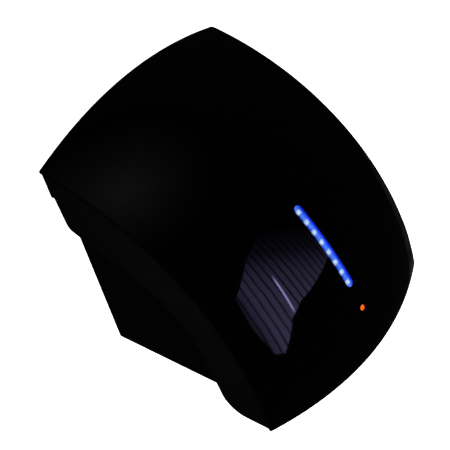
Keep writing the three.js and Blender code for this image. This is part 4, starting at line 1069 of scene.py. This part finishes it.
def make_world():
    world = bpy.data.worlds.new("studio")
    bpy.context.scene.world = world
    world.use_nodes = True
    tree = world.node_tree
    tree.nodes.clear()
    output = tree.nodes.new("ShaderNodeOutputWorld")
    dim = tree.nodes.new("ShaderNodeBackground")
    dim.inputs["Color"].default_value = (1.0, 0.98, 0.97, 1)
    dim.inputs["Strength"].default_value = 0.006
    pale = tree.nodes.new("ShaderNodeBackground")
    pale.inputs["Color"].default_value = (1, 1, 1, 1)
    pale.inputs["Strength"].default_value = 1.0
    rays = tree.nodes.new("ShaderNodeLightPath")
    mix = tree.nodes.new("ShaderNodeMixShader")
    tree.links.new(rays.outputs["Is Camera Ray"], mix.inputs[0])
    tree.links.new(dim.outputs[0], mix.inputs[1])
    tree.links.new(pale.outputs[0], mix.inputs[2])
    tree.links.new(mix.outputs[0], output.inputs["Surface"])


def make_studio():
    make_floor()
    make_window()
    make_ceiling()
    make_edge_sheet()
    make_world()
    light_inside()
    area_light("low_left", (-1.3, 0.7, -0.9), (-0.1, -0.1, 0.0), (0.8, 0.8), (1.0, 0.97, 0.95), 0.13)
    area_light("rear", (0.2, 1.8, 0.9), (0, 0, 0), (1.2, 1.2), (1, 1, 1), 20.0, glossy=False)
    view = bpy.context.scene.view_settings
    view.view_transform = "Standard"
    view.look = "None"


# ---- Build ----
make_camera()
finish_cad_nodes()
dress(make_panel(), "cover", "gloss_black", "glossy_panel")
dress(make_cover(), "cover", "satin_black", "front_cover")
dress(make_lens(), "cover", "blue_lens", "light_bar")
for lamp_index in range(LAMP_COUNT):
    dress(make_lamp(lamp_index), "cover", "blue_lens", material=LAMP_BLUE)
dress(make_indicator(), "cover", "amber_lens", "indicator_lens")
dress(make_heater(), "base", "nichrome", "heater_coil")
MAINS = [(50, -14, -60), (30, -11, -68), (0, -11, -70), (-28, -16, -62), (-44, -19, -56)]
MOTOR = [(-35, -18, 30), (-26, -13, 52), (0, -9, 68), (40, -14, 64), (62, -42, 52), (82, -66, 44)]
mains = make_wires("mains_wire", MAINS, 3, 1.6)
motor = make_wires("motor_wire", MOTOR, 2, 1.4)
for piece, look in zip(mains + motor, ("wire_brown", "wire_blue", "wire_earth", "wire_brown", "wire_blue")):
    dress(piece, "base", "wire_red", material=FINE[look])
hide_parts("mains_wires")
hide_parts("motor_wires")
for pieces, slots, looks in (
    (make_resistors(), ("nylon", "zinc"), ("ceramic", "tin")),
    (make_chips(), ("carbon", "zinc"), ("chip_black", "tin")),
    (make_headers(), ("nylon", "brass"), ("ceramic_white", "tin")),
    (make_fuse(), ("zinc", "nylon"), ("tin", "ceramic_white")),
):
    for piece, slot, look in zip(pieces, slots, looks):
        dress(piece, "base", slot, material=FINE[look])
dress(make_small_capacitors(), "base", "carbon", material=FINE["chip_black"])
dress(make_gauze(), "base", "grey_plastic")
make_studio()
